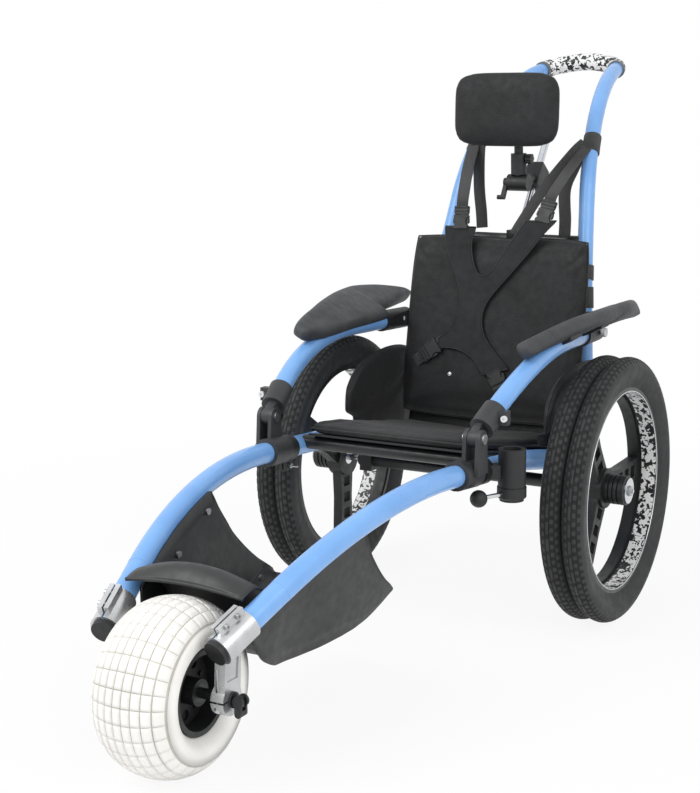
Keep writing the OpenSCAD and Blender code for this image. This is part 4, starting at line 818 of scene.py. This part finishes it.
# the snap's section: share of its radius, and rise in millimetres
SNAP_ROWS = ((1, 0), (1, 3.4), (0.8, 4), (0.6, 3.4), (0.3, 4.2), (0.02, 4.4))
SNAP_STEPS = 24


def on_panel(x, z, out):
    """A point out metres in front of the back panel's middle plane, from millimetres across and up."""
    p = PANEL + PANEL_UP * ((z * MM - PANEL.z) / PANEL_UP.z) + PANEL_OUT * out
    return Vector((x * MM, p.y, p.z))


def back_panel():
    def plane(u, v):
        a, b = soft_square(u, v, 0.14, 4)
        dip = 5 * MM * math.exp(-(u / 0.3) ** 2) * max(0.0, v) ** 9
        wing = PANEL_OUT * PANEL_WING * u ** 6
        return PANEL + X * a * PANEL_HALF.x + PANEL_UP * (b * PANEL_HALF.y - dip) + wing

    def front(u, v):
        seam = PANEL_SEAM * math.exp(-((v - 0.84 - 0.02 * abs(u)) / 0.03) ** 2)
        crown = PANEL_CROWN * (1 - u ** 4) * (1 - v ** 4)
        folds = wrinkle(plane(u, v), 14, 1.0 * MM) * (1 - u ** 4) * (1 - v ** 4)
        return 18 * MM + crown - seam + folds

    def rear(u, v):
        return 20 * MM + 3 * MM * (1 - u ** 4) * (1 - v ** 4)

    panel = pad("back_cushion", plane, PANEL_OUT, front, rear, 0.09, (48, 64), "backrest",
                welt=1.8 * MM, puff=3 * MM)
    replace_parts(panel, "back_panel")
    flap = Shape()
    path = smooth_path([on_panel(0, z, out * MM) for z, out in FLAP_LINE], 6)
    flap.band(path, [X] * len(path), FLAP_WIDE, FLAP_THICK)
    hem = flap.make("back_flap", "backrest", "vinyl")
    snap = Shape()
    across = Vector((SNAP_RADIUS, 0, 0))
    upward = PANEL_UP * SNAP_RADIUS
    turns = [2 * math.pi * k / SNAP_STEPS for k in range(SNAP_STEPS)]
    rows = []
    for size, rise in SNAP_ROWS:
        centre = on_panel(*SNAP_PLACE, (SNAP_OUT + rise) * MM)
        rows.append([centre + (across * math.cos(a) + upward * math.sin(a)) * size for a in turns])
    snap.grid(rows, False, True)
    snap.make("snap", "backrest", "chrome")


HEAD = at(0, 181, 950)
HEAD_UP = Vector((0, 4, 121)).normalized()
HEAD_OUT = X.cross(HEAD_UP)


def head_pad():
    low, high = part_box("head_pad")
    half_x, half_y = (high.x - low.x) / 2, (high.z - low.z) / 2

    def plane(u, v):
        a, b = soft_square(u, v, 0.52, 5)
        return HEAD + X * a * half_x + HEAD_UP * b * half_y + HEAD_OUT * 8 * MM * u * u

    def front(u, v):
        ledge = 2 * MM * math.exp(-((max(abs(u) * 1.05, abs(v)) - 0.84) / 0.05) ** 2)
        return 14 * MM + 3 * MM * (1 - u ** 4) * (1 - v ** 4) - ledge

    def rear(u, v):
        return 15 * MM + 2 * MM * (1 - u ** 4) * (1 - v ** 4)

    cushion = pad("head_cushion", plane, HEAD_OUT, front, rear, 0.24, (48, 40), "headrest",
                  puff=4 * MM)
    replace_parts(cushion, "head_pad")


# places along an armrest pad from front to rear, then its inner edge and its outer edge, across and up
ARM_FRONT_ROWS = ((-252, 222, 541, 234, 547), (-243, 214, 537, 242, 552), (-222, 209, 533, 249, 558),
                  (-190, 205.6, 530, 256, 565), (-150, 205.8, 530, 263, 572), (-110, 205, 532, 272, 578),
                  (-70, 203.7, 534, 281, 582), (-30, 201, 535, 290, 585), (10, 197.9, 537, 297, 587),
                  (42, 196.4, 539, 301, 588))
ARM_REAR_ROWS = ((50, 226, 548, 302, 588), (74, 228, 549.5, 302.5, 588), (110, 231, 551, 298, 586),
                 (150, 235, 553, 289, 582), (190, 241, 555, 277, 575), (222, 247, 556, 267, 568),
                 (242, 252, 557.5, 260, 562), (254, 255.7, 559, 256.3, 559.4))
# middle line of the left armrest tube: along, across, up
ARM_TUBE = ((-336.3, 214.8, 452.2), (-271.8, 223.1, 486.7), (-237.7, 225.8, 500.4),
            (-202.7, 227.5, 511.6), (-166.9, 228.2, 520.2), (-130.6, 227.8, 526.3),
            (-93.9, 226.5, 529.6), (-57.1, 224.1, 530.3), (72, 214, 528))
ARM_TOP = 14
ARM_LOW = 16
ARM_FRONT_ROUND = 16
ARM_REAR_ROUND = 40
ARM_STEPS = 20
ARM_CHANNEL = 18.6


def arm_pad(sign):
    side = "left" if sign > 0 else "right"
    rows = smoothed(ARM_FRONT_ROWS, 4) + smoothed(ARM_REAR_ROWS, 4)
    shares = [(1 - math.cos(math.pi * k / ARM_STEPS)) / 2 for k in range(ARM_STEPS + 1)]
    front_end, rear_end = ARM_FRONT_ROWS[0][0], ARM_REAR_ROWS[-1][0]
    tops, lows = [], []
    for y, inner_x, inner_z, outer_x, outer_z in rows:
        near = max(0.0, min(1.0, (y - front_end) / ARM_FRONT_ROUND, (rear_end - y) / ARM_REAR_ROUND))
        end = math.sqrt(near * (2 - near))
        normal = Vector((inner_z - outer_z, 0, outer_x - inner_x)).normalized()
        _, tube_x, tube_z = between(ARM_TUBE, y)
        tops.append([])
        lows.append([])
        for q in shares:
            mid = Vector((inner_x + (outer_x - inner_x) * q, 0, inner_z + (outer_z - inner_z) * q))
            full = math.sqrt(max(0.0, 1 - abs(2 * q - 1) ** 5)) * end
            top = mid + normal * ARM_TOP * full
            low = mid - normal * ARM_LOW * full
            off = abs(low.x - tube_x)
            if y < ARM_TUBE[-1][0] and off < ARM_CHANNEL:
                low.z = max(low.z, tube_z + math.sqrt(ARM_CHANNEL ** 2 - off ** 2) * 1.05)
                top.z = max(top.z, low.z + 2 * full)
            tops[-1].append(at(sign * top.x, y, top.z))
            lows[-1].append(at(sign * low.x, y, low.z))
    shape = Shape()
    shape.grid(tops)
    shape.grid(lows[::-1])
    cushion = shape.make("arm_cushion_" + side, "armrest_" + side, "foam")
    seal(cushion)
    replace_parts(cushion, "arm_pad_" + side)


seat_cushion()
for sign in (1, -1):
    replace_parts(side_bolster(sign), "side_bolsters")
    arm_pad(sign)
back_panel()
head_pad()


# Foot trough: places along it run from 0 at its rear tips to 1 at the foot of its front slope,
# and to 2 at the front axle

# middle line of the left side rail: along, across, up
RAIL_LINE = ((-1012, 100, 213), (-891.4, 127.6, 270.8), (-839, 138.9, 293.7), (-785, 149.2, 313.2),
             (-729.6, 158.5, 329.1), (-673.2, 166.7, 341.4), (-615.9, 173.8, 350), (-558.1, 179.7, 354.8),
             (-500, 184.4, 355.9))
# place, lower edge, share of the way up to the rail's middle, lean of the lower edge
TROUGH_WALL = ((0, 171.3, 0.02, 43), (0.048, 165.7, 0.11, 43), (0.126, 155.8, 0.24, 43),
               (0.232, 144.1, 0.43, 43), (0.313, 138.5, 0.582, 43), (0.358, 135.7, 0.702, 43),
               (0.409, 134.2, 0.838, 43), (0.442, 133.2, 0.955, 43), (0.473, 132.4, 1, 43),
               (0.622, 129.9, 1, 43), (0.7624, 129.7, 1, 43), (0.8941, 131.9, 1, 39.6),
               (1.0484, 137.4, 1, 29.5), (1.2804, 156.1, 1, 17.9), (1.4714, 186.8, 1, 6.7),
               (1.5783, 210, 0.95, 0))
# place, height of the floor's top, share of the lip's crown
TROUGH_FLOOR = ((0, 169, 0), (0.02, 166.7, 0), (0.126, 154.1, 0), (0.3, 138.7, 0), (0.5, 133, 0),
                (0.7, 131, 0), (0.84, 132, 0), (0.93, 142, 0), (1, 174, 0), (1.1022, 210, 0),
                (1.2111, 245, 0.15), (1.3541, 268, 0.6), (1.5101, 281, 1), (1.6462, 280, 0.95),
                (1.7687, 274.5, 0.4))
TROUGH_REAR = -528.6
TROUGH_RUN = 314.2
FRONT_AXLE = -988
SLOPE_RUN = 145.2
WALL_INSET = 19.7
TROUGH_THICK = 4
TROUGH_CORNER = 30
LIP_HALF = 104
LIP_RISE = 21


def trough_place(t):
    """Along, the wall's distance from the middle, and the rail's height at a place of the trough."""
    y = TROUGH_REAR - TROUGH_RUN * t if t <= 1 else FRONT_AXLE + SLOPE_RUN * (2 - t)
    _, x, z = between(RAIL_LINE, y)
    return y, x - WALL_INSET - TROUGH_THICK / 2, z


def foot_trough():
    walls, floor = smoothed(TROUGH_WALL, 5), smoothed(TROUGH_FLOOR, 5)

    def wall(t):
        y, half, rail = trough_place(t)
        _, low, share, _ = between(walls, t)
        return y, half, low, low + (rail - low) * min(1.0, share)

    def inner(t, z):
        _, half, rail = trough_place(t)
        _, low, _, lean = between(walls, t)
        return half - lean * (1 - min(1.0, max(0.0, (z - low) / (rail - low))))

    def bed(t):
        y, _, _, top = wall(t)
        z = between(floor, t)[1] - TROUGH_THICK / 2
        radius = min(TROUGH_CORNER, max(2.0, (top - z) * 0.9))
        side = [((inner(t, z) - radius) * k / 6, z) for k in range(1, 6)]
        for a in (math.pi / 2 * k / 8 for k in range(9)):
            h = z + radius - radius * math.cos(a)
            side.append((inner(t, h) - radius + radius * math.sin(a), h))
        return [at(-x, y, h) for x, h in side[::-1]] + [at(0, y, z)] + [at(x, y, h) for x, h in side]

    def side_wall(t, sign):
        y, _, low, top = wall(t)
        rises = [low + (top - low) * k / 8 for k in range(9)]
        return [at(sign * inner(t, h), y, h) for h in rises]

    def slope(t):
        y = trough_place(t)[0]
        _, z, crown = between(floor, t)
        half = inner(min(t, TROUGH_WALL[-1][0]), z)
        half += (LIP_HALF - half) * ease(t, 1.2, 1.36)
        row = []
        for k in range(29):
            v = k / 14 - 1
            lift = 12 * ease(abs(v), 0.84, 1.0) * (1 - ease(t, 1.1, 1.3))
            row.append(at(half * v, y, z - TROUGH_THICK / 2 + LIP_RISE * crown * (1 - v * v) + lift))
        return row

    shape = Shape()
    shape.grid([bed(0.92 * k / 32) for k in range(33)])
    for sign in (1, -1):
        shape.grid([side_wall(row[0], sign) for row in walls])
    rows = [slope(0.9 + 0.8687 * k / 30) for k in range(31)]
    shape.grid(rows)
    trough = shape.make("foot_scoop", "chassis", "trough")
    thick = trough.modifiers.new("thick", "SOLIDIFY")
    thick.thickness = TROUGH_THICK * MM
    thick.offset = 0.0
    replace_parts(trough, "foot_trough")
    bead = Shape()
    bead.cord(rows[-1], 3 * MM, 10)
    bead.make("scoop_lip", "chassis", "trough")


foot_trough()


# Harness, straps and buckles

HARNESS_OUT = 26.2 * MM
HARNESS_THICK = 6 * MM
# corner points of the harness on the back panel, in millimetres across and up,
# clockwise from its right shoulder
HARNESS_RIGHT_SHOULDER = ((-118, 712), (-50, 712))
HARNESS_NOTCH = ((-57, 680), (-50, 645), (-36, 620), (-14, 621), (8, 652), (32, 690))
HARNESS_LEFT_SHOULDER = ((58, 728), (122, 730))
HARNESS_LEFT_SIDE = ((98, 705), (72, 670), (38, 628), (6, 590), (-14, 560), (-20, 530), (-12, 500), (12, 470))
HARNESS_LEFT_LEG = ((46, 438), (-8, 422))
HARNESS_FOOT = ((-24, 446), (-48, 462), (-76, 470))
HARNESS_RIGHT_LEG = ((-108, 470), (-112, 488))
HARNESS_RIGHT_SIDE = ((-92, 504), (-77, 528), (-69, 556), (-74, 588), (-92, 630), (-110, 668))


def harness_outline():
    sides = (HARNESS_RIGHT_SHOULDER, HARNESS_NOTCH, HARNESS_LEFT_SHOULDER, HARNESS_LEFT_SIDE,
             HARNESS_LEFT_LEG, HARNESS_FOOT, HARNESS_RIGHT_LEG, HARNESS_RIGHT_SIDE)
    out = []
    for k in range(1, len(sides), 2):
        ends = [sides[k - 1][1]] + list(sides[k]) + [sides[(k + 1) % len(sides)][0]]
        curve = smooth_path([Vector((x, z, 0)) for x, z in ends], 4)
        out += [(p.x, p.y) for p in curve]
    return out


def add_plate(bm, outline, place, thick, bevel):
    """A flat plate with rounded edges: outline in metres in the place's X and Y, thick along its Z."""
    fresh = bmesh.new()
    face = fresh.faces.new([fresh.verts.new((x, y, 0)) for x, y in outline])
    grown = bmesh.ops.extrude_face_region(fresh, geom=[face])
    raised = [g for g in grown["geom"] if isinstance(g, bmesh.types.BMVert)]
    bmesh.ops.translate(fresh, vec=(0, 0, thick), verts=raised)
    bmesh.ops.recalc_face_normals(fresh, faces=fresh.faces)
    sharp = [e for e in fresh.edges if e.calc_face_angle(0) > 0.6]
    bmesh.ops.bevel(fresh, geom=sharp, offset=bevel, segments=2, affect="EDGES")
    bmesh.ops.transform(fresh, matrix=place, verts=fresh.verts)
    part = bpy.data.meshes.new("plate")
    fresh.to_mesh(part)
    fresh.free()
    bm.from_mesh(part)
    bpy.data.meshes.remove(part)


def plates_object(name, bm, body, key):
    thing = build(name, [], [], body, key)
    bm.to_mesh(thing.data)
    bm.free()
    for face in thing.data.polygons:
        face.use_smooth = True
    thing.data.set_sharp_from_angle(angle=math.radians(40))
    return thing


def frame_of(origin, across, along, up):
    return Matrix.Translation(origin) @ Matrix((across, along, up)).transposed().to_4x4()


def harness():
    outline = harness_outline()
    origin = on_panel(0, PANEL.z / MM, HARNESS_OUT)
    place = frame_of(origin, X, PANEL_UP, X.cross(PANEL_UP))
    lean = PANEL_UP.z
    flat = [(x * MM, (z * MM - PANEL.z) / lean) for x, z in outline]
    bm = bmesh.new()
    add_plate(bm, flat, place, HARNESS_THICK, 1.6 * MM)
    body = plates_object("chest_harness", bm, "backrest", "neoprene")
    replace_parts(body, "harness")
    edge = Shape()
    edge.cord([on_panel(x, z, HARNESS_OUT + HARNESS_THICK * 0.75) for x, z in outline], 1.7 * MM, 6, True)
    edge.make("harness_piping", "backrest", "piping")


# pieces of one side-release buckle, in millimetres: across and along
BUCKLE_CATCH = ((-17, 0), (-17, 6), (-14, 8), (-12, 12), (-12, 18), (-14, 21), (-17, 23), (-16, 28),
                (16, 28), (17, 23), (14, 21), (12, 18), (12, 12), (14, 8), (17, 6), (17, 0))
BUCKLE_PRONG = ((12.5, 11), (16.5, 10), (18, 14), (17.5, 20), (14.5, 30), (12, 30))
BUCKLE_BASE = ((-15, 29), (-16, 33), (-16, 46), (16, 46), (16, 33), (15, 29))
BUCKLE_BARS = (1.5, 36.5, 43.5)


def buckle(bm, start, along, out):
    """A side-release buckle that starts at a point and runs along a strap."""
    across = along.cross(out).normalized()
    up = across.cross(along).normalized()

    def lay(outline, thick, bevel):
        place = frame_of(start + up * (-thick / 2) * MM, across, along, up)
        add_plate(bm, [(x * MM, y * MM) for x, y in outline], place, thick * MM, bevel * MM)

    lay(BUCKLE_CATCH, 10, 1.2)
    for sign in (1, -1):
        prong = [(sign * x, y) for x, y in BUCKLE_PRONG]
        lay(prong[::sign], 6, 0.8)
    lay(BUCKLE_BASE, 7, 1.0)
    for y in BUCKLE_BARS:
        lay(((-15, y - 1.6), (-15, y + 1.6), (15, y + 1.6), (15, y - 1.6)), 12, 0.8)


STRAP_WIDE = 25 * MM
STRAP_THICK = 2 * MM
BAR_RADIUS = 15.5 * MM
# middle line of the push bar's left upright
BAR_RUN = (at(178, 180, 384), at(169.7, 189.3, 494), at(162.4, 201.2, 581.8), at(158, 211, 627.6),
           at(150.9, 229.4, 693.1), at(143.1, 251.8, 762.2), at(138.4, 266.8, 801.1),
           at(133.3, 285.8, 838.3), at(128, 308.6, 873.1), at(125.3, 321.4, 889.6), at(122.5, 335, 905.3))
LOOP_STEPS = 28


def bar_at(height):
    """The push bar's axis point on the left at a height in metres, and its direction."""
    for low, high in zip(BAR_RUN, BAR_RUN[1:]):
        if height <= high.z:
            t = (height - low.z) / (high.z - low.z)
            return low.lerp(high, t), (high - low).normalized()
    return BAR_RUN[-1], (BAR_RUN[-1] - BAR_RUN[-2]).normalized()


def loop_round_bar(shape, sign, height, width):
    """A strap wound once round the push bar."""
    centre, along = bar_at(height * MM)
    side = X - along * along.x
    side.normalize()
    other = along.cross(side)
    ring = [centre + (side * math.cos(a) + other * math.sin(a)) * (BAR_RADIUS + STRAP_THICK * 0.8)
            for a in (2 * math.pi * k / LOOP_STEPS for k in range(LOOP_STEPS))]
    aligned = along
    if sign < 0:
        ring = mirrored(ring)
        aligned = Vector((-along.x, along.y, along.z))
    shape.band(ring, [aligned] * len(ring), width, STRAP_THICK, True)


def tie_to_panel(shape, sign, height, width):
    """A loop round the push bar with a flat tab to the back of the panel."""
    loop_round_bar(shape, sign, height, width)
    centre = bar_at(height * MM)[0]
    x = centre.x - BAR_RADIUS - STRAP_THICK * 0.8
    face = on_panel(x / MM, height, -PANEL_REAR)
    places = (centre.y, (centre.y * 2 + face.y) / 3, (centre.y + face.y * 2) / 3, face.y)
    path = [Vector((sign * x, y, centre.z)) for y in places]
    shape.band(path, [Vector((0, PANEL_UP.y, PANEL_UP.z))] * len(path), width, STRAP_THICK)


def strap(shape, points, across, width=STRAP_WIDE, steps=8):
    path = smooth_path(points, steps)
    shape.band(path, [across] * len(path), width, STRAP_THICK)


# loose strap ends that hang from the push bar
LOOSE_ENDS = (((-116, 302, 884), (-109, 282, 850), (-99, 262, 790), (-88, 250, 740), (-84, 246, 708)),
              ((116, 302, 884), (98, 286, 862), (57, 240, 794), (24, 196, 722), (17, 186, 702)),
              ((118, 300, 878), (109, 262, 830), (104, 232, 790), (114, 211, 733), (118, 199, 700)))
# a waist strap's end past its buckle: along, and off the panel
WAIST_END = ((38, 0), (50, 1), (68, -4))


def straps_and_buckles():
    web = Shape()
    bm = bmesh.new()
    slack = HARNESS_OUT + HARNESS_THICK / 2
    right_top, left_top = on_panel(-84, 708, slack), on_panel(92, 726, slack)
    right_eye, left_eye = at(-86, 158, 776), at(104, 168, 786)
    buckle(bm, right_top, (right_eye - right_top).normalized(), PANEL_OUT)
    buckle(bm, left_top, (left_eye - left_top).normalized(), PANEL_OUT)
    strap(web, [right_top.lerp(right_eye, 0.6), right_eye, at(-110, 230, 832), at(-126.5, 293, 876)], X)
    strap(web, [left_top.lerp(left_eye, 0.6), left_eye, at(111, 232, 830), at(126.5, 293, 876)], X)
    for points in LOOSE_ENDS:
        strap(web, [at(*point) for point in points], X)
    for sign in (1, -1):
        loop_round_bar(web, sign, 872, 27 * MM)
        loop_round_bar(web, sign, 884, 25 * MM)
        tie_to_panel(web, sign, 629, 29 * MM)
        tie_to_panel(web, sign, 581, 42 * MM)
    waist_right, waist_left = on_panel(-112, 476, slack), on_panel(16, 432, slack)
    right_way = (on_panel(-180, 424, slack) - waist_right).normalized()
    left_way = (on_panel(34, 400, slack) - waist_left).normalized()
    for start, way in ((waist_right, right_way), (waist_left, left_way)):
        buckle(bm, start, way, PANEL_OUT)
        wide = way.cross(PANEL_OUT)
        strap(web, [start + way * d * MM for d in (-14, 4)], wide)
        strap(web, [start + way * d * MM + PANEL_OUT * lift * MM for d, lift in WAIST_END], wide)
    webbing = web.make("straps", "backrest", "web")
    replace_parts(webbing, "webbing")
    clasps = plates_object("strap_buckles", bm, "backrest", "plastic")
    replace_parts(clasps, "buckles")


harness()
straps_and_buckles()


add_lamp("key", (-1.6, -2.6, 3.2), (0, 0, 0.5), 2.6, 90)
add_lamp("fill", (3.0, -1.6, 2.2), (0, 0, 0.5), 2.6, 45)
add_world(0.62, 1.0)
add_floor(40)
bpy.context.scene.view_settings.view_transform = "Standard"
